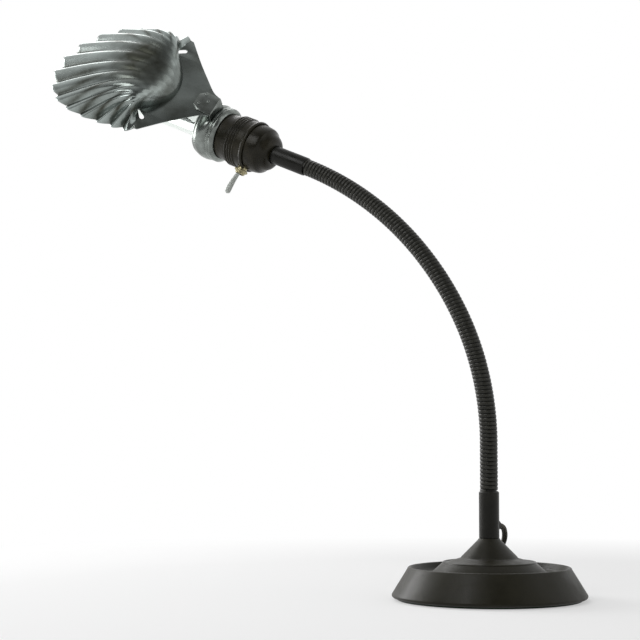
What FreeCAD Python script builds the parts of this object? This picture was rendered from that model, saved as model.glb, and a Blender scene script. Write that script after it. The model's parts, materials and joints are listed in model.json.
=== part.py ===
import FreeCAD, Part
import math
import os

# Gooseneck desk lamp: cast base, ribbed bending neck, lampholder with a lever switch,
# scallop shade on a turning ring, tubular bulb, and a cord with its plug.
# Millimetres. The origin is the centre of the base's underside, +Z is up, the neck
# reaches towards -X and a little towards +Y, and the cord lies behind the base.

V = FreeCAD.Vector
UP = V(0, 0, 1)

# Clearances
slide_gap = 0.10
turn_gap = 0.05
soft_gap = 0.30

# Base
base_radius = 75.0
felt_radius = 70.6
felt_thickness = 1.5
skirt_foot_radius = 73.0
rim_radius = 62.5
rim_height = 25.0
trough_height = 19.8
hub_foot_radius = 44.0
hub_top_radius = 35.8
hub_height = 29.2
cone_foot_radius = 23.6
cone_foot_height = 31.4
stem_foot_height = 47.0
base_wall = 8.0
boss_radius = 13.0

# Stem and its nipple
stem_radius = 7.8
stem_top_height = 83.0
stem_chamfer = 1.0
nipple_radius = 5.0
nipple_bore = 3.6
nipple_reach = 5.5
washer_radius = 11.0
washer_thickness = 1.4
nut_flats = 15.0
nut_height = 5.0

# Neck: the plane it bends in is turned by neck_heading from -X towards +Y
neck_heading = 28.6
neck_segments = 18
ribs_per_segment = 6
rib_pitch = 3.06
rib_crest_radius = 6.95
rib_root_radius = 5.90
neck_straight = 37.0
neck_arcs = ((106.8, 27.5), (106.8, 23.5), (79.7, 16.5))
ball_radius = 5.15
wire_bore = 3.5
ball_reach = 3.4
neck_spigot = 8.0

# Upper ferrule and lampholder, measured along the head's axis from the ferrule's root
ferrule_radius = 7.6
ferrule_length = 32.0
ferrule_thread = 9.0
cap_shoulder_radius = 18.7
cap_radius = 20.1
cap_wall = 1.3
cap_length = 20.0
cap_spigot = 3.5
cap_floor = 4.0
cap_floor_radius = 11.6
head_nut_flats = 19.0
head_nut_height = 3.6
collar_radius = 21.9
thread_ribs = 4
thread_pitch = 2.5
thread_start = 29.0
thread_crest_radius = 21.7
thread_root_radius = 20.9
holder_neck_radius = 19.5
holder_wall = 1.2
holder_length = 64.0
liner_thickness = 0.6
block_start = 30.0
block_end = 37.0
screw_shell_radius = 14.1
screw_shell_wall = 0.5
screw_shell_end = 61.0
screw_offset = 9.5
screw_spread = 35.0
screw_shank_radius = 1.5
screw_head_radius = 3.0
screw_head_height = 2.0

# Lever switch, at an angle round the head's axis from its top towards the front
switch_angle = 165.0
switch_place = 23.2
bushing_radius = 4.2
bushing_bore = 3.3
bushing_reach = 4.6
bushing_floor = 0.6
switch_body_half = 6.5
switch_body_width = 9.0
switch_body_start = 7.0
switch_nut_radius = 5.8
switch_nut_height = 2.2
lever_length = 22.5
lever_root_radius = 1.5
lever_tip_radius = 2.6
lever_tilt = -6.0
lever_sink = 1.2

# Shade ring
ring_start = 50.0
ring_length = 23.0
ring_radius = 24.0
ring_bore_length = 12.0
ring_wall = 1.3

# Shade: place and tilt of the flat plate on the ring's lug
shade_angle = 48.0
shade_place = 57.8
shade_offset = 29.7
shade_tilt = 20.0
shade_skew = 11.0
sheet_thickness = 0.9
lug_half_width = 10.3
lug_length = 17.2
lug_thickness = 0.9
lug_clear = 1.4
rivet_places = ((11.9, -8.0), (13.7, 3.4), (7.5, -1.9))
rivet_shank_radius = 0.9
rivet_head_radius = 1.7
rivet_head_height = 0.9

# Scallop, in the plate's frame: x along the plate, y across, z outwards
umbo_x = 42.0
lobes = 16
fan_half_angle = 83.0
side_reach = 53.5
tip_reach = 46.5
fan_power = 2.5
heel_x = 34.0
heel_depth = 20.0
heel_half_width = 35.0
rim_slope = 0.39
ear_drop = 3.5
rim_lift = 5.5
dome_height = 20.0
heel_rise = 0.64
crown = 1.15
flare = 1.8
rib_height = 3.6
rib_middle = 0.35
rib_growth = 1.6
lobe_height = 4.6
groove_round = 0.22
samples_per_lobe = 6
rows = 9
slot_length = 12.0
slot_width = 4.2
slot_x = 51.2
slot_y = 38.0
slot_turn = 145.0
seam_gap = 0.05
heel_points = 24

# Bulb
bulb_glass_radius = 10.2
bulb_glass_wall = 0.8
bulb_cap_radius = 13.1
bulb_cap_start = 38.5
bulb_cap_length = 24.0
bulb_length = 118.0

# Cord
cord_radius = 2.2
cord_exit_heading = 50.0
cord_exit_rise = 4.0
cord_exit_height = stem_foot_height + nipple_reach + cord_exit_rise
cord_inner_end = 6.4
cord_straight = 18.5
bushing_outer = 3.2
cord_bushing_reach = 2.7
cord_bushing_inset = 0.4
cord_bushing_seat = 0.6
cord_bushing_lip = 0.9
tie_thickness = 0.8
tie_width = 6.0
tie_slack = 0.4
coil_centre = V(-15, 134, 0)
coil_pitch = 4.9
coil_layer = 4.9
coil_inner_radius = 15.3
coil_turns_in_layer = 4.708
coil_start_angle = 210.0
plug_length = 28.0
plug_width = 22.0
plug_thickness = 11.0
blade_length = 17.0
blade_width = 6.3
blade_thickness = 1.5
blade_spacing = 12.7
lead_radius = 0.85
lead_offset = 1.05
lead_straight = 10.0


def save(name, *solids):
    shape = solids[0] if len(solids) == 1 else Part.makeCompound(list(solids))
    shape.exportStep("parts/%s.step" % name)
    volume = sum(s.Volume for s in shape.Solids)
    print("%-20s solids %d valid %s volume %.1f" % (name, len(shape.Solids), shape.isValid(), volume))


# Outlines and lathe work

def outline(points):
    """Closed wire in the XZ plane from (radius, height) points; a triple adds an arc's middle."""
    edges = []
    last = None
    for entry in list(points) + [points[0][-2:]]:
        here = V(entry[-2], 0, entry[-1])
        if last is not None and last.distanceToPoint(here) > 1e-6:
            if len(entry) == 4:
                middle = V(entry[0], 0, entry[1])
                edges.append(Part.Arc(last, middle, here).toShape())
            else:
                edges.append(Part.LineSegment(last, here).toShape())
        last = here
    return Part.Wire(edges)


def lathe(points):
    face = Part.Face(outline(points))
    return face.revolve(V(0, 0, 0), UP, 360).Solids[0]


def tube(outer, inner, low, high):
    body = Part.makeCylinder(outer, high - low, V(0, 0, low))
    return body.cut(Part.makeCylinder(inner, high - low + 2, V(0, 0, low - 1)))


def hexagon(flats, low, high):
    corner = flats / math.sqrt(3)
    points = [V(corner * math.cos(math.radians(60 * i)), corner * math.sin(math.radians(60 * i)), low)
              for i in range(7)]
    return Part.Face(Part.makePolygon(points)).extrude(V(0, 0, high - low))


def placed(shape, origin, x_axis, y_axis, z_axis):
    matrix = FreeCAD.Matrix(x_axis.x, y_axis.x, z_axis.x, origin.x,
                            x_axis.y, y_axis.y, z_axis.y, origin.y,
                            x_axis.z, y_axis.z, z_axis.z, origin.z,
                            0, 0, 0, 1)
    copy = shape.copy()
    copy.Placement = FreeCAD.Placement(matrix).multiply(copy.Placement)
    return copy


# Tubes along a route

def routed_wire(points):
    """Straight runs joined by tangent arcs, each arc as large as its two runs allow."""
    edges = []
    radii = []
    start = points[0]
    for before, corner, after in zip(points, points[1:], points[2:]):
        into = (corner - before)
        out = (after - corner)
        shorter = min(into.Length, out.Length)
        into.normalize()
        out.normalize()
        turn = into.getAngle(out)
        reach = 0.45 * shorter
        radii.append(reach / math.tan(turn / 2))
        first = corner - into * reach
        last = corner + out * reach
        middle = (first + last) * 0.5
        half_cos = math.cos(turn / 2)
        on_arc = middle + (corner - middle) * (half_cos / (1 + half_cos))
        edges.append(Part.LineSegment(start, first).toShape())
        edges.append(Part.Arc(first, on_arc, last).toShape())
        start = last
    edges.append(Part.LineSegment(start, points[-1]).toShape())
    return Part.Wire(edges), radii


def swept(wire, radius):
    first = wire.OrderedEdges[0]
    start = first.valueAt(first.FirstParameter)
    along = first.tangentAt(first.FirstParameter)
    ring = Part.Wire(Part.makeCircle(radius, start, along))
    return wire.makePipeShell([ring], True, False).Solids[0]


def report_tube(name, wire, radius, solid, radii=None):
    expected = math.pi * radius * radius * wire.Length
    print("%s length %.1f volume ratio %.4f" % (name, wire.Length, solid.Volume / expected))
    if radii:
        print("%s radii" % name, " ".join("%.1f" % r for r in radii))


# Base: felt, casting and the stem on it

def base_parts():
    foot = felt_thickness
    seat = stem_foot_height
    under = cone_foot_height - 1.4 * base_wall
    casting = lathe([
        (felt_radius - 3.0, foot),
        (skirt_foot_radius, foot),
        (skirt_foot_radius + 1.6, foot + 0.7, base_radius, foot + 2.6),
        (rim_radius + 0.5, rim_height - 1.4),
        (rim_radius - 1.0, rim_height, rim_radius - 2.6, rim_height - 1.0),
        (rim_radius - 4.0, trough_height + 1.6),
        (rim_radius - 5.2, trough_height + 0.3, rim_radius - 7.0, trough_height),
        (hub_foot_radius + 2.6, trough_height),
        (hub_foot_radius + 0.7, trough_height + 0.4, hub_foot_radius - 0.6, trough_height + 1.8),
        (hub_top_radius + 0.4, hub_height - 1.2),
        (hub_top_radius - 0.8, hub_height, hub_top_radius - 2.0, hub_height - 0.7),
        (hub_top_radius - 3.4, hub_height - 0.5),
        (cone_foot_radius, cone_foot_height),
        (cone_foot_radius - 1.2, cone_foot_height + 0.4, cone_foot_radius - 2.2, cone_foot_height + 1.5),
        (stem_radius + 1.2, seat - 1.6),
        (stem_radius, seat),
        (nipple_radius + slide_gap, seat),
        (nipple_radius + slide_gap, under),
        (boss_radius, under),
        (boss_radius + 2.0, under + 2.0),
        (hub_top_radius - 6.0, hub_height - base_wall - 1.0),
        (hub_foot_radius - 2.0, trough_height - base_wall),
        (rim_radius - 7.0, trough_height - base_wall),
        (rim_radius - 1.5, trough_height - base_wall - 3.0),
    ])
    save("base_casting", casting)
    save("felt_pad", Part.makeCylinder(felt_radius, felt_thickness))
    save("base_washer", tube(washer_radius, nipple_radius + slide_gap, under - washer_thickness, under))
    nut_top = under - washer_thickness
    nut = hexagon(nut_flats, nut_top - nut_height, nut_top)
    nut = nut.cut(Part.makeCylinder(nipple_radius + slide_gap, 40, V(0, 0, nut_top - 20)))
    save("base_locknut", nut)
    nipple = tube(nipple_radius, nipple_bore, nut_top - nut_height - 1.5, seat + nipple_reach)
    save("base_nipple", nipple)

    bore = rib_root_radius + slide_gap
    stem = lathe([
        (nipple_radius + slide_gap, seat),
        (stem_radius, seat),
        (stem_radius, stem_top_height - stem_chamfer),
        (stem_radius - stem_chamfer, stem_top_height),
        (bore, stem_top_height),
        (bore, seat + nipple_reach + 0.5),
        (nipple_radius + slide_gap, seat + nipple_reach + 0.5),
    ])
    out = exit_direction()
    hole = Part.makeCylinder(bushing_outer + slide_gap, stem_radius + 4, V(0, 0, cord_exit_height), out)
    save("stem_tube", stem.cut(hole))

    start = bore - cord_bushing_inset
    inner_end = out * start + V(0, 0, cord_exit_height)
    length = stem_radius + cord_bushing_reach - start
    grommet = Part.makeCylinder(bushing_outer, length, inner_end, out)
    lip = Part.makeCylinder(bushing_outer + cord_bushing_lip, cord_bushing_reach - cord_bushing_seat,
                            out * (stem_radius + cord_bushing_seat) + V(0, 0, cord_exit_height), out)
    grommet = grommet.fuse(lip)
    grommet = grommet.cut(Part.makeCylinder(cord_radius + slide_gap, 30, V(0, 0, cord_exit_height), out))
    save("cord_bushing", grommet.removeSplitter().Solids[0])


def exit_direction():
    angle = math.radians(cord_exit_heading)
    return V(math.cos(angle), math.sin(angle), 0)


# Neck: a centre line of one straight run and three tangent arcs

heading = math.radians(neck_heading)
reach_dir = V(-math.cos(heading), math.sin(heading), 0)
bend_axis = UP.cross(reach_dir)
segment_length = ribs_per_segment * rib_pitch
neck_length = neck_segments * segment_length


def neck_station(s):
    """Point and tangent of the neck's centre line at length s from the stem's top."""
    point = V(0, 0, stem_top_height)
    tilt = 0.0
    done = min(s, neck_straight)
    point = point + UP * done
    left = s - done
    for arc_length, turn in neck_arcs:
        step = min(max(left, 0.0), arc_length)
        radius = arc_length / math.radians(turn)
        swing = step / radius
        point = point + reach_dir * (radius * (math.cos(tilt) - math.cos(tilt + swing)))
        point = point + UP * (radius * (math.sin(tilt + swing) - math.sin(tilt)))
        tilt += swing
        left -= step
    along = UP * math.cos(tilt) + reach_dir * math.sin(tilt)
    return point + along * max(left, 0.0), along


def neck_circle(s, radius):
    point, along = neck_station(s)
    frame = FreeCAD.Placement(point, FreeCAD.Rotation(bend_axis, along.cross(bend_axis), along, "XYZ"))
    circle = Part.Circle(V(0, 0, 0), UP, radius)
    edge = circle.toShape()
    edge.Placement = frame
    return Part.Wire(edge)


def neck_segment(index):
    start = index * segment_length
    stations = []
    if index == 0:
        stations.append((start - neck_spigot, rib_root_radius))
    for rib in range(ribs_per_segment):
        foot = start + rib * rib_pitch
        stations += [(foot + 0.17 * rib_pitch, rib_root_radius),
                     (foot + 0.35 * rib_pitch, rib_crest_radius),
                     (foot + 0.65 * rib_pitch, rib_crest_radius),
                     (foot + 0.83 * rib_pitch, rib_root_radius)]
    if index == neck_segments - 1:
        stations.append((start + segment_length + neck_spigot, rib_root_radius))
    circles = [neck_circle(s, r) for s, r in stations]
    body = Part.makeLoft(circles, True, True).Solids[0]
    if index > 0:
        point, along = neck_station(start)
        ball = Part.makeSphere(ball_radius, point)
        keep = Part.makeCylinder(ball_radius + 1, ball_radius + ball_reach + 0.5, point - along * ball_reach, along)
        neck_core = Part.makeCylinder(ball_radius - 0.75, 4.0, point, along)
        body = body.fuse([ball.common(keep), neck_core]).removeSplitter()
    if index < neck_segments - 1:
        point, along = neck_station(start + segment_length)
        depth = ball_reach + 1.2
        body = body.cut(Part.makeCylinder(ball_radius + soft_gap, depth + 2, point - along * depth, along))
    ends = (stations[0][0] - 2 - ball_reach, stations[-1][0] + 2)
    steps = 4
    length = ends[1] - ends[0]
    bore = Part.makeLoft([neck_circle(ends[0] + length * i / steps, wire_bore) for i in range(steps + 1)],
                         True, True)
    body = body.cut(bore)
    return body.Solids[0]


def neck_parts():
    for index in range(neck_segments):
        save("neck_segment_%02d" % (index + 1), neck_segment(index))


# Head frame: z along the lampholder, y upwards, x towards the front

neck_end, head_axis = neck_station(neck_length)
head_origin = neck_end + head_axis * ferrule_length
front_dir = UP.cross(head_axis).normalize()
top_dir = head_axis.cross(front_dir)


def on_head(shape):
    return placed(shape, head_origin, front_dir, top_dir, head_axis)


def round_head(angle):
    turn = math.radians(angle)
    return V(math.sin(turn), math.cos(turn), 0)


def holder_parts():
    bore = rib_root_radius + slide_gap
    ferrule = lathe([
        (bore, -ferrule_length),
        (ferrule_radius - 0.5, -ferrule_length),
        (ferrule_radius, -ferrule_length + 1.2),
        (ferrule_radius, ferrule_thread),
        (wire_bore + 1.0, ferrule_thread),
        (wire_bore + 1.0, -ferrule_length + neck_spigot + 1.0),
        (bore, -ferrule_length + neck_spigot + 1.0),
    ])
    save("upper_ferrule", on_head(ferrule))

    hole = ferrule_radius + slide_gap
    spigot_end = cap_length + cap_spigot
    cap = lathe([
        (hole, 0.8),
        (9.4, 0.8),
        (12.6, 2.0, 15.4, 5.6),
        (16.9, 7.6, cap_shoulder_radius, 9.4),
        (cap_shoulder_radius + 0.7, 11.0),
        (cap_radius, 16.0),
        (cap_radius, spigot_end),
        (cap_radius - cap_wall, spigot_end),
        (cap_radius - cap_wall, 16.0),
        (cap_shoulder_radius - cap_wall + 0.5, 11.2),
        (cap_shoulder_radius - 2.2, 9.2),
        (13.8, 6.5),
        (13.0, 4.8, cap_floor_radius, cap_floor),
        (hole, cap_floor),
    ])
    radial = round_head(switch_angle)
    place = V(0, 0, switch_place)
    switch_hole = Part.makeCylinder(bushing_radius + slide_gap, 40, place, radial)
    save("socket_cap", on_head(cap.cut(switch_hole)))
    nut = hexagon(head_nut_flats, cap_floor, cap_floor + head_nut_height)
    nut = nut.cut(Part.makeCylinder(ferrule_radius + slide_gap, 20, V(0, 0, -2)))
    save("head_locknut", on_head(nut))

    inner = holder_neck_radius - holder_wall
    wide_inner = thread_root_radius - 1.4
    points = [
        (cap_radius + 0.2, cap_length),
        (collar_radius - 0.6, cap_length),
        (collar_radius, cap_length + 1.4, collar_radius - 0.6, cap_length + 3.2),
        (thread_root_radius, cap_length + 3.6),
    ]
    for rib in range(thread_ribs):
        foot = thread_start + rib * thread_pitch
        points += [(thread_root_radius, foot + 0.1 * thread_pitch),
                   (thread_crest_radius, foot + 0.35 * thread_pitch),
                   (thread_crest_radius, foot + 0.65 * thread_pitch),
                   (thread_root_radius, foot + 0.9 * thread_pitch)]
    end = thread_start + thread_ribs * thread_pitch
    points += [(thread_root_radius, end + 1.0),
               (holder_neck_radius + 0.2, end + 5.0),
               (holder_neck_radius + 0.2, ring_start - 0.3),
               (holder_neck_radius, ring_start - 0.3),
               (holder_neck_radius, holder_length),
               (inner, holder_length),
               (inner, end + 3.0),
               (wide_inner, end - 0.5),
               (wide_inner, spigot_end + 0.4),
               (cap_radius + 0.2, spigot_end + 0.4)]
    shell = lathe(points)
    save("socket_shell", on_head(shell.cut(switch_hole)))
    liner = tube(inner - slide_gap, inner - slide_gap - liner_thickness, spigot_end + 1.0, holder_length - 1.0)
    save("socket_liner", on_head(liner.cut(switch_hole)))

    block_radius = inner - slide_gap - liner_thickness - slide_gap
    block = tube(block_radius, 2.4, block_start, block_end)
    screws = []
    contact_hole = 2.4
    for side in (-screw_spread, screw_spread):
        spot = round_head(switch_angle + 180 + side) * screw_offset
        seat = V(spot.x, spot.y, block_start)
        shank = Part.makeCylinder(screw_shank_radius, 3.0, seat)
        head = Part.makeCylinder(screw_head_radius, screw_head_height, seat - UP * screw_head_height)
        slot = Part.makeBox(7, 0.8, 0.8, seat - V(3.5, 0.4, screw_head_height))
        screws.append(on_head(head.fuse(shank).cut(slot).Solids[0]))
        block = block.cut(Part.makeCylinder(screw_shank_radius + slide_gap, 3.2, seat))
    save("socket_block", on_head(block))
    save("terminal_screws", *screws)

    shell_points = []
    ribs = 5
    pitch = (screw_shell_end - block_end - 2.0) / ribs
    for rib in range(ribs):
        foot = block_end + 1.0 + rib * pitch
        shell_points += [(screw_shell_radius, foot + 0.2 * pitch), (screw_shell_radius + 0.5, foot + 0.45 * pitch),
                         (screw_shell_radius + 0.5, foot + 0.55 * pitch), (screw_shell_radius, foot + 0.8 * pitch)]
    outer = [(screw_shell_radius, block_end)] + shell_points + [(screw_shell_radius, screw_shell_end)]
    inner_side = [(r - screw_shell_wall, z) for r, z in reversed(outer)]
    floor = [(screw_shell_radius - screw_shell_wall, block_end + screw_shell_wall),
             (5.0, block_end + screw_shell_wall), (5.0, block_end)]
    save("screw_shell", on_head(lathe(outer + inner_side[:-1] + floor)))
    stud = Part.makeCylinder(contact_hole - slide_gap, block_end - block_start + 0.6, V(0, 0, block_start))
    leaf = Part.makeCylinder(3.6, 0.6, V(0, 0, block_end + 0.6))
    save("centre_contact", on_head(stud.fuse(leaf).removeSplitter().Solids[0]))


# Lever switch

lever_pivot_radius = thread_crest_radius - lever_sink
liner_inner_radius = holder_neck_radius - holder_wall - slide_gap - liner_thickness


def switch_parts():
    radial = round_head(switch_angle)
    place = V(0, 0, switch_place)
    across = UP.cross(radial)
    room = liner_inner_radius - soft_gap
    body_top = math.sqrt(room ** 2 - switch_body_half ** 2)
    low = body_top + slide_gap
    high = thread_crest_radius + bushing_reach
    bushing = Part.makeCylinder(bushing_radius, high - low, place + radial * low, radial)
    well = Part.makeCylinder(bushing_bore, high - low, place + radial * (low + bushing_floor), radial)
    save("switch_bushing", on_head(bushing.cut(well)))

    nut = hexagon(2 * switch_nut_radius * math.cos(math.pi / 6), 0, switch_nut_height)
    nut = nut.cut(Part.makeCylinder(bushing_radius + slide_gap, 10, V(0, 0, -2)))
    nut = placed(nut, place + radial * (collar_radius + soft_gap), across, UP, radial)
    save("switch_nut", on_head(nut))

    box = Part.makeBox(2 * switch_body_half, switch_body_width, body_top - switch_body_start,
                       V(-switch_body_half, -switch_body_width / 2, 0))
    body = placed(box, place + radial * switch_body_start, across, UP, radial)
    save("switch_body", on_head(body))

    pivot = place + radial * lever_pivot_radius
    tilt = math.radians(lever_tilt)
    along = radial * math.cos(tilt) - UP * math.sin(tilt)
    ball = Part.makeSphere(bushing_bore - soft_gap, pivot)
    stalk = Part.makeCone(lever_root_radius, lever_tip_radius, lever_length, pivot, along)
    tip = Part.makeSphere(lever_tip_radius, pivot + along * lever_length)
    lever = ball.fuse([stalk, tip]).removeSplitter()
    save("switch_lever", on_head(lever.Solids[0]))
    world = on_head(Part.Vertex(pivot)).Point
    axis = on_head(Part.Vertex(pivot + across)).Point - world
    print("switch pivot", tuple(round(c, 4) for c in world), "axis", tuple(round(c, 5) for c in axis))


# Shade frame: x along the plate, z outwards, origin at the middle of the lug's fold

def shade_frame():
    radial = top_dir * math.cos(math.radians(shade_angle)) + front_dir * math.sin(math.radians(shade_angle))
    tilt = math.radians(shade_tilt)
    along = head_axis * math.cos(tilt) + radial * math.sin(tilt)
    out = radial * math.cos(tilt) - head_axis * math.sin(tilt)
    across = out.cross(along)
    skew = math.radians(shade_skew)
    x_axis = along * math.cos(skew) + across * math.sin(skew)
    y_axis = out.cross(x_axis)
    origin = head_origin + head_axis * shade_place + radial * shade_offset
    return origin, x_axis, y_axis, out, radial


shade_origin, shade_x, shade_y, shade_z, lug_radial = shade_frame()


def on_shade(shape):
    return placed(shape, shade_origin, shade_x, shade_y, shade_z)


def ring_parts():
    end = ring_start + ring_length
    bore = holder_neck_radius + turn_gap
    groove = ring_radius - 1.3
    land = ring_radius - 0.6
    ring = lathe([
        (bore, ring_start),
        (bore + 1.4, ring_start),
        (bore + 2.6, ring_start + 1.0),
        (land, ring_start + 2.6),
        (land, ring_start + 3.8),
        (groove, ring_start + 4.6),
        (land, ring_start + 5.4),
        (land, ring_start + 6.8),
        (groove, ring_start + 7.6),
        (land, ring_start + 8.4),
        (ring_radius + 0.2, end - 8.0, ring_radius - 1.4, end - 3.0),
        (ring_radius - 3.1, end - 0.1, ring_radius - 6.0, end),
        (ring_radius - 6.8, end - 0.9),
        (ring_radius - 4.3, end - 1.1, ring_radius - 2.7, end - 3.6),
        (ring_radius - ring_wall, end - 7.4, ring_radius - ring_wall - 0.3, ring_start + ring_bore_length + 0.6),
        (bore, ring_start + ring_bore_length + 0.6),
    ])
    ring = on_head(ring)

    def strip(centre, width_dir, thin_dir, half_width, half_thin):
        corners = [centre + width_dir * (a * half_width) + thin_dir * (b * half_thin)
                   for a, b in ((-1, -1), (1, -1), (1, 1), (-1, 1), (-1, -1))]
        return Part.makePolygon(corners)

    tangent = lug_radial.cross(head_axis) * -1
    foot = head_origin + head_axis * shade_place + lug_radial * (ring_radius - 2.2)
    leg = Part.makeLoft([strip(foot, tangent, head_axis, lug_half_width - 1.0, 0.6),
                         strip(shade_origin + shade_z * lug_thickness, shade_y, shade_x, lug_half_width, 0.6)],
                        True, True)
    flat = Part.makeBox(lug_length + 0.6, 2 * lug_half_width, lug_thickness,
                        V(-0.6, -lug_half_width, 0))
    corner_cuts = []
    for side in (-1, 1):
        wedge = Part.makePolygon([V(lug_length + 0.1, side * 6.0, -1), V(lug_length + 0.1, side * 12, -1),
                                  V(lug_length - 5.0, side * 12, -1), V(lug_length + 0.1, side * 6.0, -1)])
        corner_cuts.append(Part.Face(wedge).extrude(V(0, 0, 4)))
    flat = flat.cut(corner_cuts)
    for x, y in rivet_places:
        flat = flat.cut(Part.makeCylinder(rivet_shank_radius + slide_gap, 6, V(x, y, -3)))
    lug = on_shade(flat).fuse(leg)
    ring = ring.fuse(lug).removeSplitter()
    save("shade_ring", ring.Solids[0])

    rivets = []
    for x, y in rivet_places:
        shank = Part.makeCylinder(rivet_shank_radius, sheet_thickness + lug_thickness, V(x, y, -sheet_thickness))
        dome = Part.makeSphere(rivet_head_radius, V(x, y, lug_thickness - 0.8))
        dome = dome.common(Part.makeBox(8, 8, rivet_head_height, V(x - 4, y - 4, lug_thickness)))
        tail = Part.makeCylinder(rivet_head_radius - 0.3, 0.6, V(x, y, -sheet_thickness - 0.6))
        rivets.append(on_shade(shank.fuse([dome, tail]).removeSplitter().Solids[0]))
    save("shade_rivets", *rivets)


# Scallop: heel line and scalloped rim, joined by fan lines

def fan_angle(t):
    return math.radians(fan_half_angle) * (1 - 2 * t)


def lobe_wave(t):
    """0 in the groove between two lobes and 1 on a lobe's crest, with a rounded groove."""
    sine = math.sin(math.pi * lobes * t)
    return (math.sqrt(sine * sine + groove_round ** 2) - groove_round) / (
        math.sqrt(1 + groove_round ** 2) - groove_round)


def rim_point(t):
    angle = fan_angle(t)
    reach = side_reach + tip_reach * math.cos(angle) ** fan_power
    edge_x = reach * math.cos(angle)
    start_x = side_reach * math.cos(math.radians(fan_half_angle))
    fall = (ear_drop - rim_lift * math.sin(2 * angle) ** 2) * (1 - abs(1 - 2 * t) ** 8)
    drop = fall + rim_slope * (edge_x - start_x)
    reach += lobe_height * lobe_wave(t)
    return V(umbo_x + reach * math.cos(angle), reach * math.sin(angle), -drop)


def heel_point(t):
    y = heel_half_width * math.sin(math.pi / 2 * (1 - 2 * t))
    return V(heel_x + heel_depth * (y / heel_half_width) ** 2, y, 0)


def dome_point(t, row):
    heel = heel_point(t)
    rim = rim_point(t)
    ends = 1 - abs(1 - 2 * t) ** 4
    swell = dome_height * ends * max(math.sin(math.pi * row ** heel_rise), 0.0) ** crown
    rib = rib_height * (lobe_wave(t) - rib_middle) * ends ** 0.5 * row ** rib_growth
    flat = heel + (rim - heel) * row
    return V(flat.x, flat.y, swell + rim.z * row ** flare + rib)


def dome_sheet():
    """The dome as one pressed sheet, as thick along z as the flat plate is."""
    columns = lobes * samples_per_lobe
    grid = [[dome_point(i / columns, j / rows) for j in range(rows + 1)] for i in range(columns + 1)]
    surface = Part.BSplineSurface()
    surface.interpolate(grid)
    return surface.toShape().extrude(V(0, 0, -sheet_thickness))


def mirrored(points):
    return [V(p.x, -p.y, p.z) for p in reversed(points)]


def shade_parts():
    save("shade_shell", on_shade(dome_sheet()))

    ear = rim_point(0)
    side = [V(lug_clear, lug_half_width + 0.4, 0), V(8.0, 13.6, 0), V(18.0, 23.0, 0),
            V(30.0, 35.0, 0), V(40.0, 46.0, 0), V(ear.x - 2.5, ear.y - 0.5, 0)]
    clear = V(seam_gap, 0, 0)
    tip = V(ear.x, ear.y, 0) - clear * 2
    heel = [heel_point(i / heel_points) - clear for i in range(heel_points + 1)]
    near = Part.BSplineCurve()
    near.interpolate(side)
    far = Part.BSplineCurve()
    far.interpolate(mirrored(side))
    heel_curve = Part.BSplineCurve()
    heel_curve.interpolate(heel)
    low_tip = V(tip.x, -tip.y, 0)
    wire = Part.Wire([near.toShape(), Part.makeLine(side[-1], tip), Part.makeLine(tip, heel[0]),
                      heel_curve.toShape(), Part.makeLine(heel[-1], low_tip),
                      Part.makeLine(low_tip, mirrored(side)[0]), far.toShape(),
                      Part.makeLine(mirrored(side)[-1], side[0])])
    plate = Part.Face(wire).extrude(V(0, 0, -sheet_thickness))
    for x, y in rivet_places:
        plate = plate.cut(Part.makeCylinder(rivet_shank_radius + slide_gap, 6, V(x, y, -3)))
    for hand in (-1, 1):
        turn = math.radians(slot_turn) * hand
        along = V(math.cos(turn), math.sin(turn), 0)
        middle = V(slot_x, hand * slot_y, -3)
        half = (slot_length - slot_width) / 2
        bar = Part.makeBox(2 * half, slot_width, 6, V(-half, -slot_width / 2, 0))
        bar = placed(bar, middle, along, UP.cross(along), UP)
        ends = [Part.makeCylinder(slot_width / 2, 6, middle + along * (k * half)) for k in (-1, 1)]
        plate = plate.cut(bar.fuse(ends))
    save("shade_neck_plate", on_shade(max(plate.Solids, key=lambda piece: piece.Volume)))


# Bulb

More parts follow.
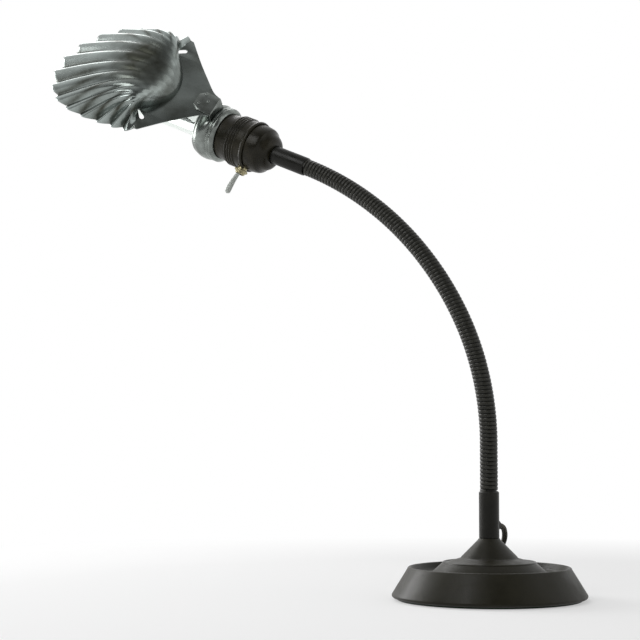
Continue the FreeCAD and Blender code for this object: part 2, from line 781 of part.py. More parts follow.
def bulb_parts():
    points = []
    ribs = 5
    pitch = (bulb_cap_length - 8.0) / ribs
    points.append((8.0, bulb_cap_start))
    points.append((bulb_cap_radius - 0.8, bulb_cap_start + 1.8))
    for rib in range(ribs):
        foot = bulb_cap_start + 2.0 + rib * pitch
        points += [(bulb_cap_radius - 0.7, foot + 0.15 * pitch), (bulb_cap_radius, foot + 0.42 * pitch),
                   (bulb_cap_radius, foot + 0.58 * pitch), (bulb_cap_radius - 0.7, foot + 0.85 * pitch)]
    skirt = bulb_cap_start + bulb_cap_length
    points += [(bulb_cap_radius - 0.4, skirt - 4.0), (bulb_glass_radius + 1.4, skirt),
               (bulb_glass_radius + 0.1, skirt), (bulb_glass_radius + 0.1, skirt - 6.0), (4.2, skirt - 6.0),
               (4.2, bulb_cap_start)]
    save("bulb_cap", on_head(lathe(points)))
    contact = lathe([(0, bulb_cap_start - 0.2), (3.0, bulb_cap_start - 0.2), (4.1, bulb_cap_start + 0.9),
                     (4.1, bulb_cap_start + 3.0), (0, bulb_cap_start + 3.0)])
    save("bulb_contact", on_head(contact))

    foot = skirt - 6.0
    end = bulb_cap_start + bulb_length
    outer = bulb_glass_radius
    inner = outer - bulb_glass_wall
    middle = math.sqrt(0.5)
    glass = lathe([
        (0, foot), (outer, foot), (outer, end - outer),
        (outer * middle, end - outer + outer * middle, 0, end),
        (0, end - bulb_glass_wall),
        (inner * middle, end - outer + inner * middle, inner, end - outer),
        (inner, foot + 1.4), (0, foot + 1.4)])
    save("bulb_glass", on_head(glass))
    stem_top = foot + 26.0
    mount = lathe([(0, foot + 1.4), (5.5, foot + 1.4), (2.2, foot + 12.0), (1.6, stem_top), (0, stem_top)])
    save("bulb_mount", on_head(mount))
    hooks = []
    span = end - outer - 6.0
    for side in (-1, 1):
        low = V(side * 0.9, 0, stem_top)
        mid = V(side * 3.4, 0, stem_top + 9.0)
        high = V(side * 3.4, 0, span)
        for a, b in ((low, mid), (mid, high)):
            hooks.append(Part.makeCylinder(0.3, (b - a).Length, a, b - a))
        hooks.append(Part.makeSphere(0.3, mid))
    bar = Part.makeCylinder(0.3, 6.8, V(-3.4, 0, span), V(1, 0, 0))
    frame = hooks[0].fuse(hooks[1:] + [bar]).removeSplitter()
    save("bulb_filament", on_head(frame.Solids[0]))


# Wires inside, the cord and its plug

def lead_parts():
    out = exit_direction()
    side = UP.cross(out)
    leads = []
    for sign in (-1, 1):
        shift = side * (sign * lead_offset)
        top = stem_top_height + segment_length - ball_reach - 3.0
        points = [out * (cord_inner_end - 0.05) + V(0, 0, cord_exit_height) + shift,
                  V(0, 0, cord_exit_height) + shift,
                  V(0, 0, top) + shift]
        wire = routed_wire(points)[0]
        leads.append(swept(wire, lead_radius))
    save("stem_leads", *leads)

    leads = []
    for sign, side_angle in ((-1, screw_spread), (1, -screw_spread)):
        spot = round_head(switch_angle + 180 + side_angle) * screw_offset
        start = V(0, 0, -ferrule_length - 4.0) + round_head(switch_angle + 90) * (sign * lead_offset)
        neck = V(start.x, start.y, ferrule_thread + 1.0)
        flare = V(spot.x, spot.y, block_start - lead_straight)
        end = V(spot.x, spot.y, block_start - screw_head_height - slide_gap)
        wire = routed_wire([start, neck, flare, end])[0]
        leads.append(on_head(swept(wire, lead_radius)))
    save("head_leads", *leads)


cord_height = cord_radius + tie_thickness + 0.1


def coil_station(turn):
    """Point and tangent of the coil's centre line; turn counts whole turns from its start."""
    total = 2 * coil_turns_in_layer
    middle = total / 2

    def at(k):
        angle = math.radians(coil_start_angle) - 2 * math.pi * k
        radius = coil_inner_radius + coil_pitch * abs(k - middle)
        blend = min(max((k - middle) / 0.5 + 0.5, 0.0), 1.0)
        height = cord_height + coil_layer * blend * blend * (3 - 2 * blend)
        return coil_centre + V(radius * math.cos(angle), radius * math.sin(angle), height)

    step = 1e-4
    low = max(turn - step, 0)
    high = min(turn + step, total)
    along = (at(high) - at(low)).normalize()
    return at(turn), along


def biarc(p0, t0, p1, t1):
    chord = p1 - p0
    both = t0 + t1
    lean = 2 * (1 - t0.dot(t1))
    reach = (-chord.dot(both) + math.sqrt(chord.dot(both) ** 2 + lean * chord.dot(chord))) / lean
    c0 = p0 + t0 * reach
    c1 = p1 - t1 * reach
    joint = (c0 + c1) * 0.5
    edges = []
    for a, c, b in ((p0, c0, joint), (joint, c1, p1)):
        middle = (a + b) * 0.5
        half_cos = (b - a).Length / 2 / reach
        edges.append(Part.Arc(a, middle + (c - middle) * (half_cos / (1 + half_cos)), b).toShape())
    return edges


def coil_wire():
    total = 2 * coil_turns_in_layer
    count = int(round(total * 4))
    stations = [coil_station(total * i / count) for i in range(count + 1)]
    first, start_dir = stations[0]
    last, end_dir = stations[-1]
    lead = 2 * cord_radius
    start_dir = V(start_dir.x, start_dir.y, 0).normalize()
    end_dir = V(end_dir.x, end_dir.y, 0).normalize()
    edges = [Part.LineSegment(first - start_dir * lead, first).toShape()]
    stations[0] = (first, start_dir)
    stations[-1] = (last, end_dir)
    for (p0, t0), (p1, t1) in zip(stations, stations[1:]):
        edges += biarc(p0, t0, p1, t1)
    edges.append(Part.LineSegment(last, last + end_dir * lead).toShape())
    return Part.Wire(edges), first - start_dir * lead, start_dir, last + end_dir * lead, end_dir


def least_gap(wire, radius):
    """Least distance between stretches of the tube that lie over a turn's eighth apart."""
    points = wire.discretize(Distance=2.0)
    skip = 12
    least = None
    for i, p in enumerate(points):
        for q in points[i + skip:]:
            gap = (p - q).Length - 2 * radius
            if least is None or gap < least:
                least = gap
    return least


def cord_parts():
    wire, start, start_dir, end, end_dir = coil_wire()
    coil = swept(wire, cord_radius)
    report_tube("cord_coil", wire, cord_radius, coil)
    print("coil least gap %.2f" % least_gap(wire, cord_radius))
    print("coil start", tuple(round(c, 2) for c in start), "end", tuple(round(c, 2) for c in end),
          "end dir", tuple(round(c, 3) for c in end_dir))
    save("cord_coil", coil)

    out = exit_direction()
    route = [out * cord_inner_end + V(0, 0, cord_exit_height),
             out * cord_straight + V(0, 0, cord_exit_height),
             V(15.0, 23.5, 48.0),
             V(13.5, 32.5, 38.8),
             V(9.5, 46.0, 34.8),
             V(7.0, 59.0, 32.5),
             V(6.5, 71.0, 27.5),
             V(4.5, 80.5, 18.5),
             V(-3.5, 86.5, 9.0),
             V(-15.5, 90.5, 3.4),
             V(-29.0, 93.5, 2.9),
             start - start_dir * 12.0,
             start]
    wire, radii = routed_wire(route)
    cord = swept(wire, cord_radius)
    report_tube("power_cord", wire, cord_radius, cord, radii)
    save("power_cord", cord)

    plug_height = plug_thickness / 2
    rear = V(41.7, 128.0, plug_height)
    tail_route = [end,
                  end + end_dir * 15.0,
                  V(35.5, 149.0, plug_height),
                  rear]
    wire, radii = routed_wire(tail_route)
    tail = swept(wire, cord_radius)
    report_tube("cord_tail", wire, cord_radius, tail, radii)
    save("cord_tail", tail)

    along = (rear - tail_route[-2])
    along = V(along.x, along.y, 0).normalize()
    side = UP.cross(along)
    body = Part.makeBox(plug_length, plug_width, plug_thickness, V(0, -plug_width / 2, -plug_height))
    edges = [e for e in body.Edges if abs(e.tangentAt(e.FirstParameter).x) > 0.9]
    body = body.makeFillet(3.5, edges)
    shoulders = [e for e in body.Edges if e.BoundBox.XMax < 0.01 and e.Length > 1]
    body = body.makeFillet(2.0, shoulders)
    blades = []
    for sign in (-1, 1):
        low = V(plug_length - 8, sign * blade_spacing / 2 - blade_thickness / 2, -blade_width / 2)
        blade = Part.makeBox(blade_length + 8, blade_thickness, blade_width, low)
        slot = Part.makeBox(8, blade_thickness + 0.1, blade_width + 0.1, low - V(0, 0.05, 0.05))
        body = body.cut(slot)
        hole = Part.makeCylinder(1.5, 6, V(plug_length + blade_length - 4, low.y - 2, 0), V(0, 1, 0))
        blades.append(placed(blade.cut(hole), rear, along, side, UP))
    save("plug_body", placed(body.Solids[0], rear, along, side, UP))
    save("plug_blades", *blades)

    middle = coil_inner_radius + coil_pitch * coil_turns_in_layer / 2
    half_width = (coil_pitch * coil_turns_in_layer + 2 * cord_radius) / 2 + tie_slack
    height = coil_layer + 2 * cord_radius + tie_slack
    outer = Part.makeBox(2 * half_width + 2 * tie_thickness, tie_width, height + tie_thickness * 2,
                         V(-half_width - tie_thickness, -tie_width / 2, 0))
    hollow = Part.makeBox(2 * half_width, tie_width + 2, height, V(-half_width, -tie_width / 2 - 1, tie_thickness))
    tie = outer.cut(hollow)
    tie.translate(V(coil_centre.x - middle, coil_centre.y, 0.0))
    save("cord_tie", tie)


os.makedirs("parts", exist_ok=True)
base_parts()
neck_parts()
holder_parts()
switch_parts()
ring_parts()
shade_parts()
bulb_parts()
lead_parts()
cord_parts()
print("head origin", tuple(round(c, 3) for c in head_origin), "axis", tuple(round(c, 5) for c in head_axis))
print("front", tuple(round(c, 5) for c in front_dir), "top", tuple(round(c, 5) for c in top_dir))
print("shade origin", tuple(round(c, 3) for c in shade_origin), "x", tuple(round(c, 5) for c in shade_x),
      "y", tuple(round(c, 5) for c in shade_y), "z", tuple(round(c, 5) for c in shade_z))
for joint in range(1, neck_segments):
    point, along = neck_station(joint * segment_length)
    print("joint", joint, tuple(round(c, 4) for c in point), tuple(round(c, 6) for c in along))
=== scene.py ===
"""Looks of a gooseneck desk lamp: cast base, wound neck, bronzed lampholder and scallop shade."""

import json
import logging
import math
from contextlib import contextmanager
from dataclasses import dataclass
from enum import Enum
from typing import Callable, Iterator, Optional, Sequence

import bmesh
import bpy
from bpy.types import ID, Material, Mesh, Node, NodeSocket, NodeTree, Object
from mathutils import Matrix, Vector

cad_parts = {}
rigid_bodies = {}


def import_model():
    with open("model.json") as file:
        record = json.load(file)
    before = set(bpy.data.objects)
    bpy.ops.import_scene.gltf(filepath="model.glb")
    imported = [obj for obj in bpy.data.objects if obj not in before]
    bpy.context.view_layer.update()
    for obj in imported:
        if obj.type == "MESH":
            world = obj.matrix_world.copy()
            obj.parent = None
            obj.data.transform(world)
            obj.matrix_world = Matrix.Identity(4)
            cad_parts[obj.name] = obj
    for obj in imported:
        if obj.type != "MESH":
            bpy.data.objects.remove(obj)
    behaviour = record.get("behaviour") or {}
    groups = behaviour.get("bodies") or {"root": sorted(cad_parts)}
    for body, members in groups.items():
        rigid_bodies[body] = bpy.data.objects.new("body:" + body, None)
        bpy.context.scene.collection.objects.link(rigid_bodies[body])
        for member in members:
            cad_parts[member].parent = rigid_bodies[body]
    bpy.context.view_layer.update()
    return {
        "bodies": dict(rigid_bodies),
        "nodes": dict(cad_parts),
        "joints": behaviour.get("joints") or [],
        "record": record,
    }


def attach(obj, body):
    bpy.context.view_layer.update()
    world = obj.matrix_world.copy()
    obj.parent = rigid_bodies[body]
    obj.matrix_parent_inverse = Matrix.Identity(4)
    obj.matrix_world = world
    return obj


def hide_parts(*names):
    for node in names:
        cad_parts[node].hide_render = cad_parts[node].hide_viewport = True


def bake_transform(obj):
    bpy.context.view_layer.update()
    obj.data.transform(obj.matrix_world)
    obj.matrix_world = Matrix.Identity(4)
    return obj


log = logging.getLogger("desk_lamp")

MM = 0.001
UP = Vector((0.0, 0.0, 1.0))
SAME_PLACE = 1e-6

# Easing of an outline's corners: turns sharper than this, and at most this share of the shorter side.
EASED_TURN = math.radians(24)
EASE_SHARE = 0.3
EASE_LEAST = 0.02
EASE_LEAD = 1.5
EASE_STEPS = 4


# Plain helpers

def smooth_step(value: float) -> float:
    """0 below 0, 1 above 1 and a smooth rise between."""
    value = min(max(value, 0.0), 1.0)
    return value * value * (3.0 - 2.0 * value)


def in_scene(name: str, data: ID) -> Object:
    """A new object with this data, linked to the scene."""
    piece = bpy.data.objects.new(name, data)
    bpy.context.scene.collection.objects.link(piece)
    return piece


def dressed(piece: Object, material: Material) -> Object:
    """Leaves the piece with this one material."""
    piece.data.materials.clear()
    piece.data.materials.append(material)
    return piece


def new_object(name: str, mesh: Mesh, material: Material) -> Object:
    """Links a mesh, already in place, as an object with one material."""
    return dressed(in_scene(name, mesh), material)


def shown_mesh(piece: Object) -> Mesh:
    """A copy of the mesh that shows, with modifiers or curve settings applied."""
    graph = bpy.context.evaluated_depsgraph_get()
    return bpy.data.meshes.new_from_object(piece.evaluated_get(graph), depsgraph=graph)


def baked(piece: Object) -> Object:
    """Applies the piece's modifiers, so that its mesh is what shows."""
    mesh = shown_mesh(piece)
    piece.modifiers.clear()
    old = piece.data
    piece.data = mesh
    if old.users == 0:
        bpy.data.meshes.remove(old)
    return piece


@contextmanager
def opened(mesh: Mesh) -> Iterator[bmesh.types.BMesh]:
    """A mesh opened for editing, written back at the end."""
    work = bmesh.new()
    work.from_mesh(mesh)
    yield work
    work.to_mesh(mesh)
    work.free()


def merge_doubles(work: bmesh.types.BMesh) -> None:
    """Merges points in one place and turns all faces outwards."""
    bmesh.ops.remove_doubles(work, verts=work.verts, dist=SAME_PLACE)
    bmesh.ops.recalc_face_normals(work, faces=work.faces)


def mark(piece: Object, name: str, value_at: Callable[[Vector], float]) -> None:
    """Stores a value for each point of the piece as a named attribute."""
    layer = piece.data.attributes.new(name, "FLOAT", "POINT")
    for vert in piece.data.vertices:
        layer.data[vert.index].value = value_at(vert.co)


def bevel_edges(piece: Object, width: float, segments: int, angle_deg: float = 30.0) -> None:
    """Adds a bevel of a width in millimetres to edges sharper than the angle."""
    bevel = piece.modifiers.new("edges", "BEVEL")
    bevel.width = width * MM
    bevel.segments = segments
    bevel.limit_method = "ANGLE"
    bevel.angle_limit = math.radians(angle_deg)


def smoothed(piece: Object, angle_deg: float = 35.0) -> Object:
    """Shades the piece smoothly, but keeps edges sharper than the angle."""
    piece.data.shade_smooth()
    piece.data.set_sharp_from_angle(angle=math.radians(angle_deg))
    return piece


def grid_mesh(name: str, rows: Sequence[Sequence[Vector]], close_u: bool = False,
              close_v: bool = False) -> Mesh:
    """A mesh of quads through rows of points.

    Args:
        name: the mesh's name.
        rows: lines of points, all as long as each other.
        close_u: whether the last row joins the first.
        close_v: whether each row closes on itself.

    Returns:
        The mesh, with doubled points merged.
    """
    mesh = bpy.data.meshes.new(name)
    count, width = len(rows), len(rows[0])
    with opened(mesh) as work:
        verts = [[work.verts.new(point) for point in row] for row in rows]
        for i in range(count if close_u else count - 1):
            for j in range(width if close_v else width - 1):
                k, m = (i + 1) % count, (j + 1) % width
                work.faces.new((verts[i][j], verts[k][j], verts[k][m], verts[i][m]))
        merge_doubles(work)
    return mesh


def ribs(start: float, pitch: float, count: int, radii: tuple, rise: tuple) -> list[tuple]:
    """Points of turned ribs for an outline.

    Args:
        start: height of the first rib's foot, in millimetres.
        pitch: from one rib to the next.
        count: how many ribs.
        radii: the radius in the grooves and on the crests.
        rise: where a rib leaves the groove and where it meets its crest, as shares of the pitch.

    Returns:
        The (radius, height) points.
    """
    (root, crest), (foot, top) = radii, rise
    profile = ((root, foot), (crest, top), (crest, 1 - top), (root, 1 - foot))
    return [(radius, start + (rib + share) * pitch) for rib in range(count) for radius, share in profile]


def curve_mesh(name: str, kind: str, loops: Sequence[Sequence[tuple]], each: dict,
               **settings: object) -> Mesh:
    """The mesh of a curve.

    Args:
        name: the curve's name.
        kind: the kind of its splines.
        loops: the points of each spline, in metres.
        each: settings of each spline.
        settings: settings of the curve.

    Returns:
        The mesh that the curve shows.
    """
    curve = bpy.data.curves.new(name, "CURVE")
    for key, value in settings.items():
        setattr(curve, key, value)
    for loop in loops:
        spline = curve.splines.new(kind)
        spline.points.add(len(loop) - 1)
        for spot, point in zip(spline.points, loop):
            spot.co = (*point, 1.0)
        for key, value in each.items():
            setattr(spline, key, value)
    holder = in_scene(name, curve)
    mesh = shown_mesh(holder)
    bpy.data.objects.remove(holder)
    return mesh


# Outlines of turned pieces

def arc_points(start: Vector, middle: Vector, end: Vector, steps: int = 8) -> list[Vector]:
    """Points on the plane arc from start through middle to end, without the start."""
    ax, ay, bx, by, cx, cy = start.x, start.y, middle.x, middle.y, end.x, end.y
    cross = 2.0 * (ax * (by - cy) + bx * (cy - ay) + cx * (ay - by))
    if abs(cross) < 1e-12:
        return [start.lerp(end, i / steps) for i in range(1, steps + 1)]
    a2, b2, c2 = ax * ax + ay * ay, bx * bx + by * by, cx * cx + cy * cy
    centre = Vector(((a2 * (by - cy) + b2 * (cy - ay) + c2 * (ay - by)) / cross,
                     (a2 * (cx - bx) + b2 * (ax - cx) + c2 * (bx - ax)) / cross))
    angles = [math.atan2(p.y - centre.y, p.x - centre.x) for p in (start, middle, end)]
    turn = (angles[2] - angles[0]) % math.tau
    if (angles[1] - angles[0]) % math.tau > turn:
        turn -= math.tau
    radius = (start - centre).length
    spots = [angles[0] + turn * i / steps for i in range(1, steps + 1)]
    return [centre + Vector((math.cos(spot), math.sin(spot))) * radius for spot in spots]


def outline(entries: Sequence[tuple], ease: float) -> list[Vector]:
    """A closed outline in millimetres with its corners eased.

    Args:
        entries: (radius, height) points, or (arc radius, arc height, radius, height) for an arc.
        ease: size of the rounding at a sharp corner.

    Returns:
        The outline's points, in metres.
    """
    points: list[Vector] = []
    for entry in list(entries) + [entries[0][-2:]]:
        here = Vector(entry[-2:])
        if points and len(entry) == 4:
            points += arc_points(points[-1], Vector(entry[:2]), here)
        elif not points or (here - points[-1]).length > SAME_PLACE:
            points.append(here)
    if (points[0] - points[-1]).length < SAME_PLACE:
        points.pop()
    eased: list[Vector] = []
    for i, corner in enumerate(points):
        before, after = points[i - 1], points[(i + 1) % len(points)]
        back, on = before - corner, after - corner
        turn = math.pi - back.angle(on)
        reach = min(ease, EASE_SHARE * back.length, EASE_SHARE * on.length)
        if turn < EASED_TURN or reach < EASE_LEAST or abs(corner.x) < SAME_PLACE:
            eased.append(corner)
            continue
        first, last = corner + back.normalized() * reach, corner + on.normalized() * reach
        eased.append(corner + back.normalized() * (reach * EASE_LEAD))
        for step in range(EASE_STEPS + 1):
            share = step / EASE_STEPS
            eased.append(first * (1 - share) ** 2 + corner * (2 * share * (1 - share)) + last * share ** 2)
        eased.append(corner + on.normalized() * (reach * EASE_LEAD))
    return [point * MM for point in eased]


@dataclass(frozen=True)
class Place:
    """A local frame: an origin in metres and three axes."""

    origin: Vector
    x: Vector
    y: Vector
    z: Vector

    def point(self, x: float, y: float, z: float) -> Vector:
        """The point, in metres, of local millimetres."""
        return self.origin + (self.x * x + self.y * y + self.z * z) * MM

    def moved(self, x: float, y: float, z: float) -> "Place":
        """The same axes at another local point."""
        return Place(self.point(x, y, z), self.x, self.y, self.z)

    def matrix(self) -> Matrix:
        """The frame as a 4x4 matrix, in metres."""
        turn = Matrix((self.x, self.y, self.z)).transposed().to_4x4()
        return Matrix.Translation(self.origin) @ turn


WORLD = Place(Vector((0, 0, 0)), Vector((1, 0, 0)), Vector((0, 1, 0)), UP)


def turned(name: str, entries: Sequence[tuple], place: Place, material: Material,
           sides: int = 128, ease: float = 0.5) -> Object:
    """A piece turned about its local z axis.

    Args:
        name: the piece's name.
        entries: its outline, as outline() takes it.
        place: the local frame.
        material: its finish.
        sides: number of sides round the axis.
        ease: rounding of its corners in millimetres.

    Returns:
        The object.
    """
    points = outline(entries, ease)
    rows = []
    for i in range(sides):
        angle = math.tau * i / sides
        radial = place.x * math.cos(angle) + place.y * math.sin(angle)
        rows.append([place.origin + radial * p.x + place.z * p.y for p in points])
    return smoothed(new_object(name, grid_mesh(name, rows, close_u=True, close_v=True), material))


def rings_along(points: Sequence[Vector], radii: Sequence[float], sides: int,
                side: Vector) -> list[list[Vector]]:
    """Rings of points round a line, each square to it and twisted as little as can be.

    Args:
        points: the line, in metres.
        radii: the radius at each of its points, in metres.
        sides: number of points in a ring.
        side: about where the first ring starts.

    Returns:
        The rings.
    """
    rings = []
    turns = [math.tau * k / sides for k in range(sides)]
    for i, point in enumerate(points):
        along = (points[min(i + 1, len(points) - 1)] - points[max(i - 1, 0)]).normalized()
        side = (side - along * side.dot(along)).normalized()
        other = along.cross(side)
        rings.append([point + (side * math.cos(turn) + other * math.sin(turn)) * radii[i] for turn in turns])
    return rings


def bar_along(name: str, points: Sequence[Vector], radii: Sequence[float], material: Material,
              sides: int = 24) -> Object:
    """A round bar of changing radius along a line, closed at both ends.

    Args:
        name: the piece's name.
        points: its centre line, in metres.
        radii: its radius at each point, in metres.
        material: its finish.
        sides: number of sides.

    Returns:
        The object.
    """
    side = (points[1] - points[0]).orthogonal().normalized()
    rows = [[points[0]] * sides, *rings_along(points, radii, sides, side), [points[-1]] * sides]
    return smoothed(new_object(name, grid_mesh(name, rows, close_v=True), material), 50)


# Node trees

class Graph:
    """Short ways to add and join the nodes of one tree."""

    def __init__(self, tree: NodeTree) -> None:
        """Keeps the tree."""
        self.tree = tree

    def feed(self, node: Node, values: dict) -> None:
        """Sets inputs of a node, each to a value or by a link from a socket."""
        for key, value in values.items():
            if isinstance(value, NodeSocket):
                self.tree.links.new(value, node.inputs[key])
            else:
                node.inputs[key].default_value = value

    def add(self, kind: str, values: Optional[dict] = None, **settings: object) -> Node:
        """Adds a node.

        Args:
            kind: the node's type name.
            values: values or sockets for its inputs, by name or number.
            settings: the node's own properties.

        Returns:
            The node.
        """
        node = self.tree.nodes.new(kind)
        for key, value in settings.items():
            setattr(node, key, value)
        self.feed(node, values or {})
        return node

    def out(self, kind: str, values: Optional[dict] = None, **settings: object) -> NodeSocket:
        """Adds a node as add() does and returns its first output."""
        return self.add(kind, values, **settings).outputs[0]

    def ramp(self, source: NodeSocket, low: float, high: float) -> NodeSocket:
        """Maps low..high of a value to 0..1, clamped."""
        return self.out("ShaderNodeMapRange", {"Value": source, "From Min": low, "From Max": high})

    def spread(self, source: NodeSocket, low: float, high: float) -> NodeSocket:
        """Maps 0..1 of a value to low..high."""
        return self.out("ShaderNodeMapRange", {"Value": source, "To Min": low, "To Max": high})

    def maths(self, operation: str, a: object, b: object = 0.0) -> NodeSocket:
        """One math node over sockets or numbers."""
        return self.out("ShaderNodeMath", {0: a, 1: b}, operation=operation)

    def vector(self, operation: str, a: object, b: object) -> NodeSocket:
        """One vector math node; to SCALE, b is a number."""
        second = "Scale" if operation == "SCALE" else 1
        return self.out("ShaderNodeVectorMath", {0: a, second: b}, operation=operation)

    def mix(self, factor: object, a: object, b: object) -> NodeSocket:
        """Mixes two colours, each a socket or an RGBA value."""
        return self.add("ShaderNodeMix", {0: factor, 6: a, 7: b}, data_type="RGBA").outputs[2]


class GrowingTree(Graph):
    """A Geometry Nodes tree that makes a piece's mesh and gives it a material."""

    def __init__(self, name: str, inputs: dict[str, str]) -> None:
        """Makes the tree.

        Args:
            name: the tree's name.
            inputs: the kind of each input besides the geometry and the material.
        """
        super().__init__(bpy.data.node_groups.new(name, "GeometryNodeTree"))
        face = self.tree.interface
        for label, kind in {"Geometry": "Geometry", "Material": "Material", **inputs}.items():
            face.new_socket(label, in_out="INPUT", socket_type="NodeSocket" + kind)
        face.new_socket("Geometry", in_out="OUTPUT", socket_type="NodeSocketGeometry")
        self.inlet = self.add("NodeGroupInput").outputs

    def close(self, geometry: NodeSocket) -> NodeTree:
        """Makes copies real, gives them the material and returns the whole tree."""
        real = self.out("GeometryNodeRealizeInstances", {"Geometry": geometry})
        dress = self.out("GeometryNodeSetMaterial", {"Geometry": real, "Material": self.inlet["Material"]})
        self.add("NodeGroupOutput", {"Geometry": dress})
        return self.tree


def grown(piece: Object, tree: NodeTree, material: Material,
          values: dict) -> Object:
    """Runs a growing tree on a piece and keeps the result as a plain mesh.

    Args:
        piece: the piece.
        tree: the tree.
        material: the piece's finish.
        values: the tree's other inputs, by name.

    Returns:
        The piece.
    """
    modifier = piece.modifiers.new("growth", "NODES")
    modifier.node_group = tree
    values = {"Material": material, **values}
    for item in tree.interface.items_tree:
        if item.in_out == "INPUT" and item.name in values:
            modifier[item.identifier] = values[item.name]
    return dressed(baked(piece), material)


STREAK_STRETCH = 0.06
MOTTLE_EDGES = (0.38, 0.66)


class Effect(Enum):
    """Effects that more than one finish uses, each built once as a node group."""

    MOTTLE = "surface_mottle"
    GRAIN = "fine_grain"
    SCRATCH = "drawn_scratches"


def effect_group(effect: Effect) -> NodeTree:
    """The node group of an effect, built the first time that it is asked for.

    Args:
        effect: which effect.

    Returns:
        The group, with a Scale input and one Mask or Height output.
    """
    known = bpy.data.node_groups.get(effect.value)
    if known:
        return known
    tree = bpy.data.node_groups.new(effect.value, "ShaderNodeTree")
    scale = tree.interface.new_socket("Scale", in_out="INPUT", socket_type="NodeSocketFloat")
    scale.default_value = 100.0
    out_name = "Mask" if effect is Effect.MOTTLE else "Height"
    tree.interface.new_socket(out_name, in_out="OUTPUT", socket_type="NodeSocketFloat")
    graph = Graph(tree)
    inlet = graph.add("NodeGroupInput").outputs
    place = graph.add("ShaderNodeTexCoord").outputs["Object"]
    if effect is Effect.SCRATCH:
        place = graph.out("ShaderNodeMapping", {"Scale": (1.0, 1.0, STREAK_STRETCH), "Vector": place})
    result = graph.out("ShaderNodeTexNoise", {"Detail": 6.0, "Roughness": 0.62, "Scale": inlet["Scale"],
                                              "Vector": place})
    if effect is Effect.MOTTLE:
        result = graph.ramp(result, *MOTTLE_EDGES)
    graph.add("NodeGroupOutput", {out_name: result})
    return tree


class Finish:
    """Shared steps of every finish."""

    @staticmethod
    def begin(name: str) -> tuple[Material, Graph, Node]:
        """A new material, its graph and its Principled shader."""
        material = bpy.data.materials.new(name)
        material.use_nodes = True
        graph = Graph(material.node_tree)
        return material, graph, material.node_tree.nodes["Principled BSDF"]

    @staticmethod
    def effect(graph: Graph, effect: Effect, scale: float) -> NodeSocket:
        """Places an effect's group and returns its output."""
        return graph.out("ShaderNodeGroup", {"Scale": scale}, node_tree=effect_group(effect))

    @staticmethod
    def bump(graph: Graph, height: NodeSocket, depth: float) -> NodeSocket:
        """The normal of a surface whose height, 0 to 1, stands for a depth in metres."""
        return graph.out("ShaderNodeBump", {"Strength": 1.0, "Distance": depth, "Height": height})


@dataclass(frozen=True)
class PaintFinish(Finish):
    """Paint or lacquer over metal, with mottled wear.

    The worn colour shows in patches and, where the piece has a crest attribute, on its crests.
    """

    name: str
    colour: tuple
    worn: tuple
    wear: float
    roughness: tuple
    mottle_scale: float
    grain_scale: float
    grain_depth: float
    metallic: float = 0.0
    crest: bool = False
    crest_worn: float = 0.6
    specular: float = 0.22
    crest_edge: float = 0.72
    crest_mottle: float = 3.1

    def material(self) -> Material:
        """Builds the material."""
        material, graph, shader = self.begin(self.name)
        patches = self.effect(graph, Effect.MOTTLE, self.mottle_scale)
        amount = graph.maths("MULTIPLY", patches, self.wear)
        if self.crest:
            crest = graph.add("ShaderNodeAttribute", attribute_name="crest").outputs["Fac"]
            rubbed = graph.ramp(crest, self.crest_edge, 1.0)
            fine = self.effect(graph, Effect.MOTTLE, self.mottle_scale * self.crest_mottle)
            rubbed = graph.maths("MULTIPLY", rubbed, graph.maths("MULTIPLY_ADD", fine, 0.5))
            amount = graph.maths("ADD", amount, graph.maths("MULTIPLY", rubbed, self.crest_worn))
        grain = self.effect(graph, Effect.GRAIN, self.grain_scale)
        graph.feed(shader, {"Base Color": graph.mix(amount, self.colour, self.worn),
                            "Roughness": graph.spread(patches, *self.roughness),
                            "Metallic": self.metallic, "Specular IOR Level": self.specular,
                            "Normal": self.bump(graph, grain, self.grain_depth)})
        return material


@dataclass(frozen=True)
class MetalFinish(Finish):
    """Bare metal with tarnished patches and drawn or rubbed streaks; where shadowed, a point attribute adds
    painted shade and painted reflection.
    """

    name: str
    bright: tuple
    # The dark colour: of the tarnished patches and, where shadowed, of the painted shade and painted
    # reflection.
    tarnish_and_painted_shade: tuple
    roughness: tuple
    mottle_scale: float
    streak_scale: float
    streak_depth: float
    shadowed: bool = False
    patch_share: float = 0.35

    def material(self) -> Material:
        """Builds the material."""
        material, graph, shader = self.begin(self.name)
        patches = self.effect(graph, Effect.MOTTLE, self.mottle_scale)
        tint = patches
        if self.shadowed:
            # Painted shade and painted reflection: a darkening stored on the piece's points, added to the
            # tarnished patches.
            dark = graph.add("ShaderNodeAttribute", attribute_name="tarnish_and_painted_shade").outputs["Fac"]
            tint = graph.maths("ADD", graph.maths("MULTIPLY", patches, self.patch_share), dark)
            tint = graph.ramp(tint, 0.0, 1.0)
        streaks = self.effect(graph, Effect.SCRATCH, self.streak_scale)
        graph.feed(shader, {"Base Color": graph.mix(tint, self.bright, self.tarnish_and_painted_shade),
                            "Roughness": graph.spread(tint, *self.roughness), "Metallic": 1.0,
                            "Normal": self.bump(graph, streaks, self.streak_depth)})
        return material


@dataclass(frozen=True)
class PlainFinish(Finish):
    """Plastic, rubber, card, felt or porcelain: one colour family with a grain."""

    name: str
    colour: tuple
    shade: tuple
    roughness: float
    mottle_scale: float
    grain_scale: float
    grain_depth: float
    coat: float = 0.0
    sheen: float = 0.0

    def material(self) -> Material:
        """Builds the material."""
        material, graph, shader = self.begin(self.name)
        patches = self.effect(graph, Effect.MOTTLE, self.mottle_scale)
        grain = self.effect(graph, Effect.GRAIN, self.grain_scale)
        graph.feed(shader, {"Base Color": graph.mix(patches, self.colour, self.shade),
                            "Roughness": self.roughness, "Coat Weight": self.coat,
                            "Sheen Weight": self.sheen, "Normal": self.bump(graph, grain, self.grain_depth)})
        return material


